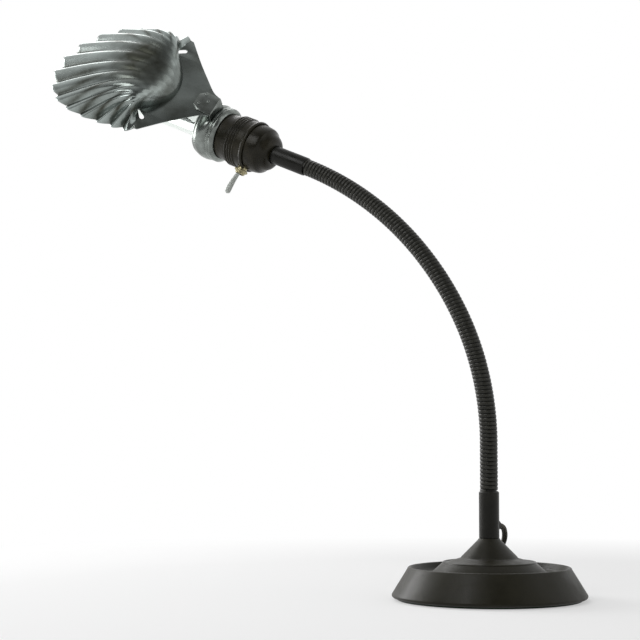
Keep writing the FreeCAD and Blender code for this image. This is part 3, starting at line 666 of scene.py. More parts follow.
@dataclass(frozen=True)
class BraidFinish(Finish):
    """A braided cloth cover that follows the cord's own UV map."""

    name: str
    light: tuple
    dark: tuple
    strands: float
    pitch: float
    depth: float
    roughness: float = 0.82
    sheen: float = 0.25

    def material(self) -> Material:
        """Builds the material: two sets of slanted strands that cross over."""
        material, graph, shader = self.begin(self.name)
        uv = graph.out("ShaderNodeUVMap", uv_map="UVMap")
        split = graph.add("ShaderNodeSeparateXYZ", {"Vector": uv}).outputs
        around = graph.maths("MULTIPLY", split["X"], self.strands * math.tau)
        along = graph.maths("MULTIPLY", split["Y"], math.tau / self.pitch)
        right = graph.maths("SINE", graph.maths("ADD", around, along))
        left = graph.maths("SINE", graph.maths("SUBTRACT", around, along))
        height = graph.ramp(graph.maths("MULTIPLY", right, left), -1.0, 1.0)
        graph.feed(shader, {"Base Color": graph.mix(height, self.dark, self.light),
                            "Roughness": self.roughness, "Sheen Weight": self.sheen,
                            "Normal": self.bump(graph, height, self.depth)})
        return material


@dataclass(frozen=True)
class GlassFinish(Finish):
    """Clear glass with a faint haze."""

    name: str
    colour: tuple
    haze: tuple
    refraction: float = 1.47
    haze_scale: float = 60.0

    def material(self) -> Material:
        """Builds the material."""
        material, graph, shader = self.begin(self.name)
        film = self.effect(graph, Effect.MOTTLE, self.haze_scale)
        graph.feed(shader, {"Base Color": self.colour, "Transmission Weight": 1.0, "IOR": self.refraction,
                            "Roughness": graph.spread(film, *self.haze)})
        return material


class Finishes:
    """Every finish of the lamp, built once."""

    def __init__(self) -> None:
        """Builds the materials."""
        self.base = PaintFinish(
            "base_paint_finish", (0.0092, 0.0082, 0.003, 1), (0.0175, 0.016, 0.0075, 1), 0.6, (0.36, 0.54),
            38.0, 900.0, 0.00012).material()
        self.stem = PaintFinish(
            "stem_paint_finish", (0.0085, 0.0085, 0.0062, 1), (0.018, 0.018, 0.0135, 1), 0.5, (0.32, 0.48),
            60.0, 1100.0, 0.0001).material()
        self.neck = PaintFinish(
            "neck_lacquer_finish", (0.0045, 0.0047, 0.003, 1), (0.052, 0.051, 0.042, 1), 0.08, (0.28, 0.44),
            90.0, 1600.0, 0.00006, 0.0, True, 0.75).material()
        self.holder = PaintFinish(
            "holder_bronze_finish", (0.0095, 0.0085, 0.0042, 1), (0.027, 0.024, 0.0145, 1), 0.75,
            (0.27, 0.44), 70.0, 1300.0, 0.00006, 0.15).material()
        # The scallop's metal: its dark colour serves tarnished patches and the painted shade and painted
        # reflection on the dome and plate.
        self.aluminium = MetalFinish(
            "shade_metal_finish", (0.33, 0.37, 0.357, 1), (0.052, 0.055, 0.044, 1), (0.17, 0.34), 45.0,
            260.0, 0.00005, True).material()
        self.ring = MetalFinish(
            "ring_metal_finish", (0.25, 0.272, 0.257, 1), (0.11, 0.12, 0.11, 1), (0.16, 0.36), 85.0, 420.0,
            0.00004).material()
        self.brass = MetalFinish(
            "brass_finish", (0.42, 0.38, 0.23, 1), (0.19, 0.17, 0.10, 1), (0.28, 0.5), 160.0, 600.0,
            0.00004).material()
        self.steel = MetalFinish(
            "steel_finish", (0.52, 0.52, 0.53, 1), (0.30, 0.30, 0.31, 1), (0.25, 0.45), 120.0, 500.0,
            0.00003).material()
        self.ivory = PlainFinish(
            "lever_ivory_finish", (0.44, 0.47, 0.44, 1), (0.33, 0.35, 0.32, 1), 0.38, 190.0, 900.0, 0.00004,
            0.3).material()
        self.felt = PlainFinish(
            "felt_finish", (0.020, 0.040, 0.024, 1), (0.035, 0.058, 0.036, 1), 0.95, 400.0, 2600.0, 0.0004,
            0.0, 0.4).material()
        self.rubber = PlainFinish(
            "rubber_finish", (0.020, 0.018, 0.015, 1), (0.034, 0.031, 0.027, 1), 0.62, 200.0, 1500.0,
            0.00006).material()
        self.plug = PlainFinish(
            "plug_finish", (0.026, 0.019, 0.013, 1), (0.042, 0.031, 0.022, 1), 0.33, 90.0, 1400.0, 0.00004,
            0.25).material()
        self.card = PlainFinish(
            "liner_card_finish", (0.30, 0.20, 0.105, 1), (0.22, 0.145, 0.075, 1), 0.8, 150.0, 1800.0,
            0.0001).material()
        self.porcelain = PlainFinish(
            "porcelain_finish", (0.80, 0.78, 0.71, 1), (0.72, 0.69, 0.62, 1), 0.2, 60.0, 900.0,
            0.00002, 0.6).material()
        self.strap = PlainFinish(
            "strap_finish", (0.022, 0.022, 0.021, 1), (0.034, 0.034, 0.032, 1), 0.55, 140.0, 1700.0,
            0.00005).material()
        self.lead = PlainFinish(
            "lead_cotton_finish", (0.075, 0.062, 0.043, 1), (0.050, 0.041, 0.029, 1), 0.9, 300.0, 2400.0,
            0.0002, 0.0, 0.2).material()
        self.braid = BraidFinish(
            "cord_braid_finish", (0.095, 0.084, 0.052, 1), (0.024, 0.020, 0.012, 1), 6.0,
            0.0042, 0.00035).material()
        self.glass = GlassFinish(
            "bulb_glass_finish", (0.93, 0.96, 0.94, 1), (0.01, 0.10)).material()


# Neck


@dataclass(frozen=True)
class Neck:
    """The neck's centre line: one straight run and three tangent arcs, in millimetres."""

    segments = 18
    ribs_per_segment: int = 6
    rib_pitch: float = 3.06
    crest_radius: float = 6.95
    root_radius: float = 5.9
    stem_top: float = 83.0
    heading_deg: float = 28.6
    straight: float = 37.0
    arcs: tuple = ((106.8, 27.5), (106.8, 23.5), (79.7, 16.5))
    samples_per_turn: int = 20
    line_step: float = 2.0
    wire_sides: int = 12
    core_sides: int = 24
    wire_share: float = 0.55
    wire_half_pitch: float = 0.505

    @property
    def segment_length(self) -> float:
        """Length of one segment."""
        return self.ribs_per_segment * self.rib_pitch

    @property
    def length(self) -> float:
        """Length of the whole neck."""
        return self.segments * self.segment_length

    @property
    def reach(self) -> Vector:
        """Level direction that the neck leans to."""
        angle = math.radians(self.heading_deg)
        return Vector((-math.cos(angle), math.sin(angle), 0.0))

    def station(self, s: float) -> tuple[Vector, Vector]:
        """Point in metres and tangent at length s above the stem.

        Args:
            s: length along the neck in millimetres.

        Returns:
            The point and the unit tangent.
        """
        done = min(s, self.straight)
        point = Vector((0.0, 0.0, self.stem_top + done))
        left = s - done
        tilt = 0.0
        for arc_length, turn in self.arcs:
            step = min(max(left, 0.0), arc_length)
            radius = arc_length / math.radians(turn)
            swing = step / radius
            point = point + self.reach * (radius * (math.cos(tilt) - math.cos(tilt + swing)))
            point = point + UP * (radius * (math.sin(tilt + swing) - math.sin(tilt)))
            tilt += swing
            left -= step
        along = UP * math.cos(tilt) + self.reach * math.sin(tilt)
        return (point + along * max(left, 0.0)) * MM, along

    def winding_tree(self) -> NodeTree:
        """Geometry Nodes: winds a round wire about the piece's own centre line.

        Returns:
            The tree, with the winding's sizes as inputs.
        """
        sizes = ("Turns", "Coil Radius", "Wire Height", "Wire Width", "Start Turn", "Core Radius")
        graph = GrowingTree("wound_neck", {**dict.fromkeys(sizes, "Float"), "Steps": "Int"})
        inlet = graph.inlet
        line = graph.out("GeometryNodeMeshToCurve", {"Mesh": inlet["Geometry"]})
        wire = graph.out("GeometryNodeCurvePrimitiveLine")
        dense = graph.out("GeometryNodeResampleCurve", {"Curve": wire, "Count": inlet["Steps"]})
        last = graph.maths("SUBTRACT", inlet["Steps"], 1.0)
        share = graph.maths("DIVIDE", graph.out("GeometryNodeInputIndex"), last)
        sample = graph.add("GeometryNodeSampleCurve", {"Curves": line, "Factor": share},
                           use_all_curves=True).outputs
        turn = graph.maths("MULTIPLY", share, inlet["Turns"])
        angle = graph.maths("MULTIPLY", graph.maths("ADD", turn, inlet["Start Turn"]), math.tau)
        side = graph.out("ShaderNodeCombineXYZ", {"X": -self.reach.y, "Y": self.reach.x, "Z": 0.0})
        across = graph.vector("CROSS_PRODUCT", side, sample["Tangent"])
        radial = graph.vector("ADD", graph.vector("SCALE", side, graph.maths("COSINE", angle)),
                              graph.vector("SCALE", across, graph.maths("SINE", angle)))
        place = graph.vector("ADD", sample["Position"], graph.vector("SCALE", radial, inlet["Coil Radius"]))
        outward = graph.add("GeometryNodeCaptureAttribute")
        outward.capture_items.new("VECTOR", "Outward")
        graph.feed(outward, {"Geometry": dense, "Outward": radial})
        held = outward.outputs
        bent = graph.out("GeometryNodeSetPosition", {"Geometry": held["Geometry"], "Position": place})
        upright = graph.out("GeometryNodeSetCurveNormal", {"Curve": bent, "Normal": held["Outward"]},
                            mode="FREE")
        profile = graph.out("GeometryNodeCurvePrimitiveCircle",
                            {"Resolution": self.wire_sides, "Radius": 1.0})
        size = graph.out("ShaderNodeCombineXYZ", {"X": inlet["Wire Height"], "Y": inlet["Wire Width"]})
        flat = graph.out("GeometryNodeTransform", {"Geometry": profile, "Scale": size})
        round_core = graph.out("GeometryNodeCurvePrimitiveCircle",
                               {"Resolution": self.core_sides, "Radius": inlet["Core Radius"]})
        both = graph.add("GeometryNodeJoinGeometry")
        for curve, section in ((upright, flat), (line, round_core)):
            graph.feed(both, {"Geometry": graph.out("GeometryNodeCurveToMesh", {
                "Curve": curve, "Profile Curve": section, "Fill Caps": True})})
        return graph.close(graph.out("GeometryNodeSetShadeSmooth", {"Geometry": both.outputs[0]}))

    def build(self, finishes: Finishes) -> list[Object]:
        """Winds one piece over each joint.

        Args:
            finishes: the lamp's materials.

        Returns:
            The pieces, from the stem upwards.
        """
        pieces = []
        for joint in range(1, self.segments):
            low = 0.0 if joint == 1 else (joint - 0.5) * self.segment_length
            high = self.length if joint == self.segments - 1 else (joint + 0.5) * self.segment_length
            piece = self.tube_piece(f"neck_winding_{joint:02d}", low, high, finishes.neck)
            start, _ = self.station((joint - 0.5) * self.segment_length)
            end, _ = self.station((joint + 0.5) * self.segment_length)
            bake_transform(piece)
            covered = [f"neck_segment_{joint + 1:02d}"]
            if joint == 1:
                covered.append("neck_segment_01")
            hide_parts(*covered)
            pieces.append(piece)
        return pieces

    def tube_piece(self, name: str, low: float, high: float, material: Material) -> Object:
        """One stretch of the wound tube, with the rub on its crests as an attribute.

        Args:
            name: the piece's name.
            low: where it starts along the neck, in millimetres.
            high: where it ends.
            material: its finish.

        Returns:
            The piece, a plain mesh.
        """
        steps = max(2, int((high - low) / self.line_step))
        line = bpy.data.meshes.new(name + "_line")
        points = [self.station(low + (high - low) * i / steps)[0] for i in range(steps + 1)]
        line.from_pydata([tuple(p) for p in points], [(i, i + 1) for i in range(steps)], [])
        tree = bpy.data.node_groups.get("wound_neck") or self.winding_tree()
        turns = (high - low) / self.rib_pitch
        height = (self.crest_radius - self.root_radius) * self.wire_share
        piece = grown(in_scene(name, line), tree, material, {
            "Turns": turns, "Coil Radius": (self.crest_radius - height) * MM, "Wire Height": height * MM,
            "Wire Width": self.rib_pitch * self.wire_half_pitch * MM, "Start Turn": low / self.rib_pitch,
            "Core Radius": self.root_radius * MM, "Steps": int(turns * self.samples_per_turn) + 1})
        steps = int((high - low) / self.line_step) * 2
        stations = [self.station(low + (high - low) * i / steps) for i in range(steps + 1)]
        mark(piece, "crest", lambda spot: self.crest_share(spot, stations))
        return piece

    def crest_share(self, spot: Vector, stations: Sequence[tuple[Vector, Vector]]) -> float:
        """How near to the crest a point lies, 0 in a groove and 1 on top."""
        near, along = min(stations, key=lambda entry: (entry[0] - spot).length_squared)
        offset = spot - near
        radius = (offset - along * offset.dot(along)).length / MM
        return (radius - self.root_radius) / (self.crest_radius - self.root_radius)


# Head: frames of the lampholder and the shade

@dataclass(frozen=True)
class HeadFrames:
    """Where the lampholder and the shade lie, worked out from the neck's end."""

    neck: Neck
    ferrule_length: float = 32.0
    shade_angle: float = 48.0
    shade_place: float = 57.8
    shade_offset: float = 29.7
    shade_tilt: float = 20.0
    shade_skew: float = 11.0

    @property
    def head(self) -> Place:
        """The lampholder's frame: z along it, y upwards, x towards the front."""
        end, axis = self.neck.station(self.neck.length)
        front = UP.cross(axis).normalized()
        return Place(end + axis * self.ferrule_length * MM, front, axis.cross(front), axis)

    def radial(self, angle_deg: float) -> Vector:
        """Direction across the lampholder, at an angle from its top towards the front."""
        turn = math.radians(angle_deg)
        return self.head.x * math.sin(turn) + self.head.y * math.cos(turn)

    @property
    def shade(self) -> Place:
        """The shade's frame: x along the plate, z outwards."""
        head = self.head
        radial = self.radial(self.shade_angle)
        tilt, skew = math.radians(self.shade_tilt), math.radians(self.shade_skew)
        along = head.z * math.cos(tilt) + radial * math.sin(tilt)
        out = radial * math.cos(tilt) - head.z * math.sin(tilt)
        across = out.cross(along)
        x_axis = along * math.cos(skew) + across * math.sin(skew)
        origin = head.origin + (head.z * self.shade_place + radial * self.shade_offset) * MM
        return Place(origin, x_axis, out.cross(x_axis), out)


@dataclass(frozen=True)
class Base:
    """The cast base and the stem on it, in millimetres."""

    foot: float = 1.5
    stem_radius: float = 7.8
    stem_top: float = 83.0
    stem_foot: float = 47.0
    bore: float = 6.0
    nipple_bore: float = 5.1
    exit_heading: float = 50.0
    exit_height: float = 56.5
    hole_radius: float = 3.3
    cutter_length: float = 20.0

    def build(self, finishes: Finishes) -> list[Object]:
        """Makes the casting and the stem."""
        casting = turned("cast_base", [
            (67.6, 1.5), (73.0, 1.5), (74.6, 2.2, 75.0, 4.1), (63.0, 23.6), (61.5, 25.0, 59.9, 24.0),
            (58.5, 21.4), (57.3, 20.1, 55.5, 19.8), (46.6, 19.8), (44.7, 20.2, 43.4, 21.6), (36.2, 28.0),
            (35.0, 29.2, 33.8, 28.5), (32.4, 28.7), (23.6, 31.4), (22.4, 31.8, 21.4, 32.9), (9.0, 45.4),
            (self.stem_radius, self.stem_foot), (self.nipple_bore, self.stem_foot), (self.nipple_bore, 20.2),
            (13.0, 20.2), (15.0, 22.2), (29.8, 20.2), (42.0, 11.8), (55.5, 11.8), (61.0, 8.8)],
            WORLD, finishes.base, 192, 0.6)
        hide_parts("base_casting")
        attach(casting, "root")
        outer, inner, bore = self.stem_radius, self.nipple_bore, self.bore
        foot, top, seat = self.stem_foot, self.stem_top, self.stem_foot + 6.0
        stem = turned("painted_stem", [
            (inner, foot), (outer, foot), (outer, top - 1.0), (outer - 1.0, top), (bore, top), (bore, seat),
            (inner, seat)], WORLD, finishes.stem, 96, 0.35)
        self.bore_exit(stem)
        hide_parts("stem_tube")
        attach(stem, "root")
        return [casting, stem]

    def bore_exit(self, stem: Object) -> None:
        """Cuts the cord's hole through the stem's wall."""
        angle = math.radians(self.exit_heading)
        out = Vector((math.cos(angle), math.sin(angle), 0.0))
        centre = Vector((0.0, 0.0, self.exit_height * MM))
        cutter = bar_along("exit_cutter", [centre, centre + out * self.cutter_length * MM],
                           [self.hole_radius * MM] * 2, stem.data.materials[0], 32)
        cut = stem.modifiers.new("exit", "BOOLEAN")
        cut.object = cutter
        cut.solver = "EXACT"
        baked(stem)
        bpy.data.objects.remove(cutter)
        smoothed(stem)


@dataclass(frozen=True)
class Lampholder:
    """Ferrule, cap, shell and lever switch, in millimetres along the head's axis."""

    frames: HeadFrames
    ferrule_radius: float = 7.6
    cap_radius: float = 20.1
    cap_length: float = 20.0
    collar_radius: float = 21.9
    thread_start: float = 29.0
    thread_pitch: float = 2.5
    thread_ribs: int = 4
    thread_crest: float = 21.7
    thread_root: float = 20.9
    neck_radius: float = 19.5
    wall: float = 1.2
    length: float = 64.0
    ring_start: float = 50.0
    switch_angle: float = 165.0
    switch_place: float = 23.2
    lever_length: float = 22.5
    lever_tilt: float = -6.0
    lever_sway: float = 1.1
    bushing_radius: float = 4.2
    bushing_top: float = 26.3
    nut_radius: float = 5.8
    nut_seat: float = 22.2
    nut_height: float = 2.2
    pivot_radius: float = 20.5
    knurls: int = 22
    knurl_radius: float = 0.34
    lever_start: float = -2.0
    lever_steps: int = 26
    lever_end: float = 2.6
    lever_slim: float = 1.5
    lever_swell: float = 1.0

    def build(self, finishes: Finishes) -> list[Object]:
        """Makes the holder's visible pieces."""
        head = self.frames.head
        start, outer = -self.frames.ferrule_length, self.ferrule_radius
        ferrule = turned("upper_ferrule_sleeve", [
            (6.0, start), (7.1, start), (outer, start + 1.2), (outer, 9.0), (4.5, 9.0), (4.5, start + 9.0),
            (6.0, start + 9.0)], head, finishes.neck, 96, 0.3)
        cap = turned("holder_cap", [
            (7.7, 0.8), (9.4, 0.8), (12.6, 2.0, 15.4, 5.6), (16.9, 7.6, 18.7, 9.4), (19.4, 11.0),
            (self.cap_radius, 16.0), (self.cap_radius, 23.5), (18.8, 23.5), (18.8, 16.0), (17.9, 11.2),
            (16.5, 9.2), (13.8, 6.5), (13.0, 4.8, 11.6, 4.0), (7.7, 4.0)], head, finishes.holder, 128, 0.4)
        shell = turned("holder_shell", self.shell_outline(), head, finishes.holder, 160, 0.35)
        for piece, node in ((ferrule, "upper_ferrule"), (cap, "socket_cap"), (shell, "socket_shell")):
            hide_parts(node)
            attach(piece, "head")
        return [ferrule, cap, shell] + self.switch(finishes)

    def shell_outline(self) -> list[tuple]:
        """The shell's outline: bead, grip ribs, waist and the sleeve in the ring."""
        bore, collar = self.cap_radius + 0.2, self.collar_radius
        root, neck = self.thread_root, self.neck_radius
        start, end = self.cap_length, self.thread_start + self.thread_ribs * self.thread_pitch
        return [(bore, start), (collar - 0.6, start), (collar, start + 1.4, collar - 0.6, start + 3.2),
                (root, start + 3.6),
                *ribs(self.thread_start, self.thread_pitch, self.thread_ribs, (root, self.thread_crest),
                      (0.1, 0.35)),
                (root, end + 1.0), (neck + 0.2, end + 5.0), (neck + 0.2, self.ring_start - 0.3),
                (neck, self.ring_start - 0.3), (neck, self.length), (neck - self.wall, self.length),
                (neck - self.wall, end + 3.0), (root - 1.4, end - 0.5), (root - 1.4, start + 3.9),
                (bore, start + 3.9)]

    def switch(self, finishes: Finishes) -> list[Object]:
        """Makes the switch's bushing, knurled nut and lever."""
        head = self.frames.head
        radial = self.frames.radial(self.switch_angle)
        across = head.z.cross(radial)
        seat = Place(head.point(0, 0, self.switch_place), head.z, across, radial)
        outer, rim, hole = self.bushing_radius, self.bushing_top, 3.3
        bushing = turned("switch_collar", [
            (hole, 17.5), (outer, 17.5), (outer, rim - 0.6), (outer - 0.6, rim), (hole, rim)],
            seat, finishes.brass, 48, 0.25)
        low, top, flank, hole = self.nut_seat, self.nut_seat + self.nut_height, self.nut_radius, outer + 0.1
        nut = turned("switch_ring_nut", [
            (hole, low), (flank - 0.5, low), (flank - 0.35, low + 0.5), (flank - 0.35, top - 0.5),
            (flank - 0.9, top), (hole, top)], seat, finishes.brass, 66, 0.2)
        knurl = self.knurl(seat, finishes.brass)
        lever = self.lever(seat, finishes)
        for piece, node, slot, body in ((bushing, "switch_bushing", "brass", "head"),
                                        (nut, "switch_nut", "brass", "head"), (knurl, None, "brass", "head"),
                                        (lever, "switch_lever", "lever_ivory", "lever")):
            if node:
                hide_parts(node)
            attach(piece, body)
        return [bushing, nut, knurl, lever]

    def knurl(self, seat: Place, material: Material) -> Object:
        """The knurls round the ring nut, set out by Geometry Nodes."""
        blank = bpy.data.meshes.new("knurl")
        radius = self.knurl_radius * MM
        with opened(blank) as work:
            bmesh.ops.create_cone(work, cap_ends=True, segments=6, radius1=radius, radius2=radius,
                                  depth=(self.nut_height - 1.0) * MM)
        seed = in_scene("knurl_blank", blank)
        ring = repeated("switch_nut_knurls", seed, self.knurls, (self.nut_radius - 0.4) * MM, material)
        ring.data.transform(seat.moved(0, 0, self.nut_seat + self.nut_height / 2).matrix())
        bpy.data.objects.remove(seed)
        return ring

    def lever(self, seat: Place, finishes: Finishes) -> Object:
        """The pale lever: a slim bar that swells to a rounded end and bows a little."""
        tilt = math.radians(self.lever_tilt)
        along = seat.z * math.cos(tilt) - seat.x * math.sin(tilt)
        bow = along.cross(seat.y)
        pivot = seat.point(0, 0, self.pivot_radius)
        reach = self.lever_length + self.lever_end
        points, radii = [], []
        for i in range(self.lever_steps + 1):
            length = self.lever_start + (reach - self.lever_start) * (i / self.lever_steps)
            bend = self.lever_sway * math.sin(math.pi * max(length, 0.0) / reach)
            points.append(pivot + (along * length + bow * bend) * MM)
            body = self.lever_slim + self.lever_swell * smooth_step(max(length, 0.0) / self.lever_length)
            left = (reach - length) / self.lever_end
            radii.append(MM * body * math.sqrt(max(1 - (1 - min(left, 1.0)) ** 2, 0.0004)))
        return bar_along("switch_bat", points, radii, finishes.ivory, 28)


def repeated(name: str, seed: Object, count: int, radius: float,
             material: Material) -> Object:
    """Sets copies of a small piece round a circle with Geometry Nodes.

    Args:
        name: the new piece's name.
        seed: the piece to copy.
        count: how many copies.
        radius: the circle's radius in metres.
        material: the copies' finish.

    Returns:
        The copies as one plain mesh about the origin.
    """
    graph = GrowingTree(name + "_layout", {"Blank": "Object", "Count": "Int", "Radius": "Float"})
    inlet = graph.inlet
    circle = graph.out("GeometryNodeCurvePrimitiveCircle",
                       {"Resolution": inlet["Count"], "Radius": inlet["Radius"]})
    spots = graph.out("GeometryNodeCurveToPoints", {"Curve": circle}, mode="EVALUATED")
    blank = graph.add("GeometryNodeObjectInfo", {"Object": inlet["Blank"]}).outputs["Geometry"]
    tree = graph.close(graph.out("GeometryNodeInstanceOnPoints", {"Points": spots, "Instance": blank}))
    ring = in_scene(name, bpy.data.meshes.new(name))
    return grown(ring, tree, material, {"Blank": seed, "Count": count, "Radius": radius})


@dataclass(frozen=True)
class Shade:
    """The ring on the holder and the scallop on its lug, in millimetres."""

    frames: HeadFrames
    ring_start: float = 50.0
    ring_length: float = 23.0
    ring_radius: float = 24.0
    bore: float = 19.55
    sheet: float = 0.9
    lug_half_width: float = 10.3
    lug_length: float = 17.2
    lug_thickness: float = 0.9
    lug_clear: float = 1.4
    lug_taper: float = 5.0
    lug_end_half_width: float = 6.0
    rivets: tuple = ((11.9, -8.0), (13.7, 3.4), (7.5, -1.9))
    rivet_radius: float = 1.15
    umbo_x: float = 42.0
    lobes: int = 16
    fan_half_angle: float = 83.0
    side_reach: float = 53.5
    tip_reach: float = 46.5
    fan_power: float = 2.5
    heel_x: float = 34.0
    heel_depth: float = 20.0
    heel_half_width: float = 35.0
    rim_slope: float = 0.39
    ear_drop: float = 3.5
    rim_lift: float = 5.5
    dome_height: float = 20.0
    heel_rise: float = 0.64
    crown: float = 1.15
    flare: float = 1.8
    rib_height: float = 3.6
    rib_middle: float = 0.35
    rib_growth: float = 2.2
    tip_ease: float = 0.45
    lobe_height: float = 4.6
    groove_round: float = 0.22
    columns_per_lobe: int = 14
    rows: int = 44
    slot_length: float = 12.0
    slot_width: float = 4.2
    slot_x: float = 51.2
    slot_y: float = 38.0
    slot_turn: float = 145.0
    plate_bevel: float = 0.18
    # Painted reflection: an even darkening of the whole plate, for the dark room mirrored in it.
    plate_painted_reflection: float = 0.42
    # Painted reflection of the dark room on the dome: where it is darkest, and how far it spreads.
    painted_reflection_centre: float = 70.0
    painted_reflection_radius: float = 34.0

    def lobe_wave(self, t: float) -> float:
        """0 in the groove between two lobes and 1 on a lobe's crest."""
        sine = math.sin(math.pi * self.lobes * t)
        low = self.groove_round
        return (math.sqrt(sine * sine + low * low) - low) / (math.sqrt(1 + low * low) - low)

    def rim_point(self, t: float) -> Vector:
        """The scalloped rim, from one ear at t = 0 to the other at t = 1."""
        angle = math.radians(self.fan_half_angle) * (1 - 2 * t)
        reach = self.side_reach + self.tip_reach * math.cos(angle) ** self.fan_power
        start_x = self.side_reach * math.cos(math.radians(self.fan_half_angle))
        fall = (self.ear_drop - self.rim_lift * math.sin(2 * angle) ** 2) * (1 - abs(1 - 2 * t) ** 8)
        drop = fall + self.rim_slope * (reach * math.cos(angle) - start_x)
        reach += self.lobe_height * self.lobe_wave(t)
        return Vector((self.umbo_x + reach * math.cos(angle), reach * math.sin(angle), -drop))

    def heel_point(self, t: float) -> Vector:
        """The line where the dome rises from the flat plate."""
        y = self.heel_half_width * math.sin(math.pi / 2 * (1 - 2 * t))
        return Vector((self.heel_x + self.heel_depth * (y / self.heel_half_width) ** 2, y, 0.0))

    def dome_point(self, t: float, row: float) -> Vector:
        """A point of the dome's outside: row 0 on the heel and 1 on the rim."""
        heel, rim = self.heel_point(t), self.rim_point(t)
        ends = 1 - abs(1 - 2 * t) ** 4
        wave = max(math.sin(math.pi * row ** self.heel_rise), 0.0)
        swell = self.dome_height * ends * wave ** self.crown
        fade = row ** self.rib_growth * (1 - self.tip_ease * row ** 6)
        rib = self.rib_height * (self.lobe_wave(t) - self.rib_middle) * math.sqrt(max(ends, 0.0)) * fade
        flat = heel.lerp(rim, row)
        return Vector((flat.x, flat.y, swell + rim.z * row ** self.flare + rib))

    def build(self, finishes: Finishes) -> list[Object]:
        """Makes the ring, the lug, its rivets and the scallop."""
        ring = self.ring(finishes)
        lug = self.lug(finishes)
        dome = self.dome(finishes)
        plate = self.plate(finishes)
        rivets = self.rivet_heads(finishes)
        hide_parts("shade_ring")
        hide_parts("shade_shell")
        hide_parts("shade_neck_plate")
        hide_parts("shade_rivets")
        pieces = [ring, lug, dome, plate, rivets]
        for piece in pieces:
            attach(piece, "shade")
        return pieces

    def ring(self, finishes: Finishes) -> Object:
        """The stepped ring on the holder's mouth."""
        start, radius = self.ring_start, self.ring_radius
        groove, land, end = radius - 1.3, radius - 0.6, self.ring_start + self.ring_length
        return turned("stepped_ring", [
            (self.bore, start), (self.bore + 1.4, start), (self.bore + 2.6, start + 1.0),
            (land, start + 2.6), (land, start + 3.8), (groove, start + 4.6), (land, start + 5.4),
            (land, start + 6.8),
            (groove, start + 7.6), (land, start + 8.4), (radius + 0.2, end - 8.0, radius - 1.4, end - 3.0),
            (radius - 3.1, end - 0.1, radius - 6.0, end), (radius - 6.8, end - 0.9),
            (radius - 4.3, end - 1.1, radius - 2.7, end - 3.6),
            (radius - 1.3, end - 7.4, radius - 1.6, start + 12.6), (self.bore, start + 12.6)],
            self.frames.head, finishes.ring, 160, 0.35)

    def lug(self, finishes: Finishes) -> Object:
        """The lug: a strip that rises from the ring, folds and lies on the plate."""
        shade, head = self.frames.shade, self.frames.head
        radial = self.frames.radial(self.frames.shade_angle)
        foot = head.origin + (head.z * self.frames.shade_place + radial * (self.ring_radius - 2.2)) * MM
        middle = self.lug_thickness / 2
        fold = shade.point(0.2, 0, middle)
        tangent = head.z.cross(radial)
        if tangent.dot(shade.y) < 0:
            tangent = -tangent
        rows = []
        for share in (0.0, 0.3, 0.6, 0.82):
            width = (self.lug_half_width - 1.0 + share) * MM
            side = tangent.lerp(shade.y, share).normalized()
            centre = foot.lerp(fold, share)
            rows.append([centre + side * width * k for k in (-1, -0.5, 0, 0.5, 1)])
        for x, lift in ((0.15, -0.35), (0.7, -0.06), (1.6, 0.0), (5.0, 0.0), (9.0, 0.0), (12.2, 0.0),
                        (self.lug_length, 0.0)):
            cut = max(0.0, (x - (self.lug_length - self.lug_taper)) / self.lug_taper)
            width = self.lug_half_width - cut * (self.lug_half_width - self.lug_end_half_width)
            rows.append([shade.point(x, width * k, middle + lift) for k in (-1, -0.5, 0, 0.5, 1)])
        piece = new_object("ring_lug", grid_mesh("ring_lug", rows), finishes.ring)
        thick = piece.modifiers.new("thickness", "SOLIDIFY")
        thick.thickness = self.lug_thickness * MM
        thick.offset = 0.0
        thick.use_even_offset = True
        bevel_edges(piece, 0.22, 2)
        return smoothed(baked(piece))

    def dome(self, finishes: Finishes) -> Object:
        """The pressed dome with its lobes, as thick as the sheet."""
        shade = self.frames.shade
        columns = self.lobes * self.columns_per_lobe
        rows = []
        for i in range(columns + 1):
            t = i / columns
            points = [self.dome_point(t, j / self.rows) for j in range(self.rows + 1)]
            outer = [shade.point(p.x, p.y, p.z) for p in points]
            inner = [shade.point(p.x, p.y, p.z - self.sheet) for p in reversed(points)]
            rows.append(outer + inner)
        mesh = grid_mesh("scallop_dome", rows, close_v=True)
        with opened(mesh) as work:
            bmesh.ops.holes_fill(work, edges=[e for e in work.edges if e.is_boundary], sides=0)
            bmesh.ops.recalc_face_normals(work, faces=work.faces)
        dome = new_object("scallop_dome", mesh, finishes.aluminium)
        bevel_edges(dome, 0.3, 3, 55)
        smoothed(baked(dome), 60)
        inverse = shade.matrix().inverted()
        # Painted shade on the dome: painted reflection in its middle and painted shade in its grooves,
        # stored on its points.
        mark(dome, "tarnish_and_painted_shade", lambda spot: self.painted_shade_at((inverse @ spot) / MM))
        return dome

    def fan_share(self, spot: Vector) -> float:
        """Which share of the fan, from ear to ear, a point of the dome lies at."""
        angle = math.atan2(spot.y, spot.x - self.umbo_x)
        return (1 - angle / math.radians(self.fan_half_angle)) / 2

    def painted_shade_at(self, spot: Vector) -> float:
        """How much painted shade the dome gets: a painted reflection of the dark room, darkest in the middle
        of the dome, and painted shade in the grooves between the lobes towards the rim, whose crests stay
        bright.
        """
        away = math.hypot((spot.x - self.painted_reflection_centre) / self.painted_reflection_radius, spot.y / self.painted_reflection_radius)
        centre = 0.9 * (1.0 - smooth_step((away - 0.25) / 0.95))
        groove = (1.0 - self.lobe_wave(min(max(self.fan_share(spot), 0.0), 1.0))) ** 2
        return max(centre, 0.75 * groove * smooth_step(away - 0.3))

    def plate_sides(self) -> list[Vector]:
        """Half of the plate's outline, from the fold to the ear's tip."""
        ear = self.rim_point(0.0)
        return [Vector(point) for point in (
            (self.lug_clear, self.lug_half_width + 0.4), (8.0, 13.6), (18.0, 23.0), (30.0, 35.0),
            (40.0, 46.0), (ear.x - 2.5, ear.y - 0.5))]

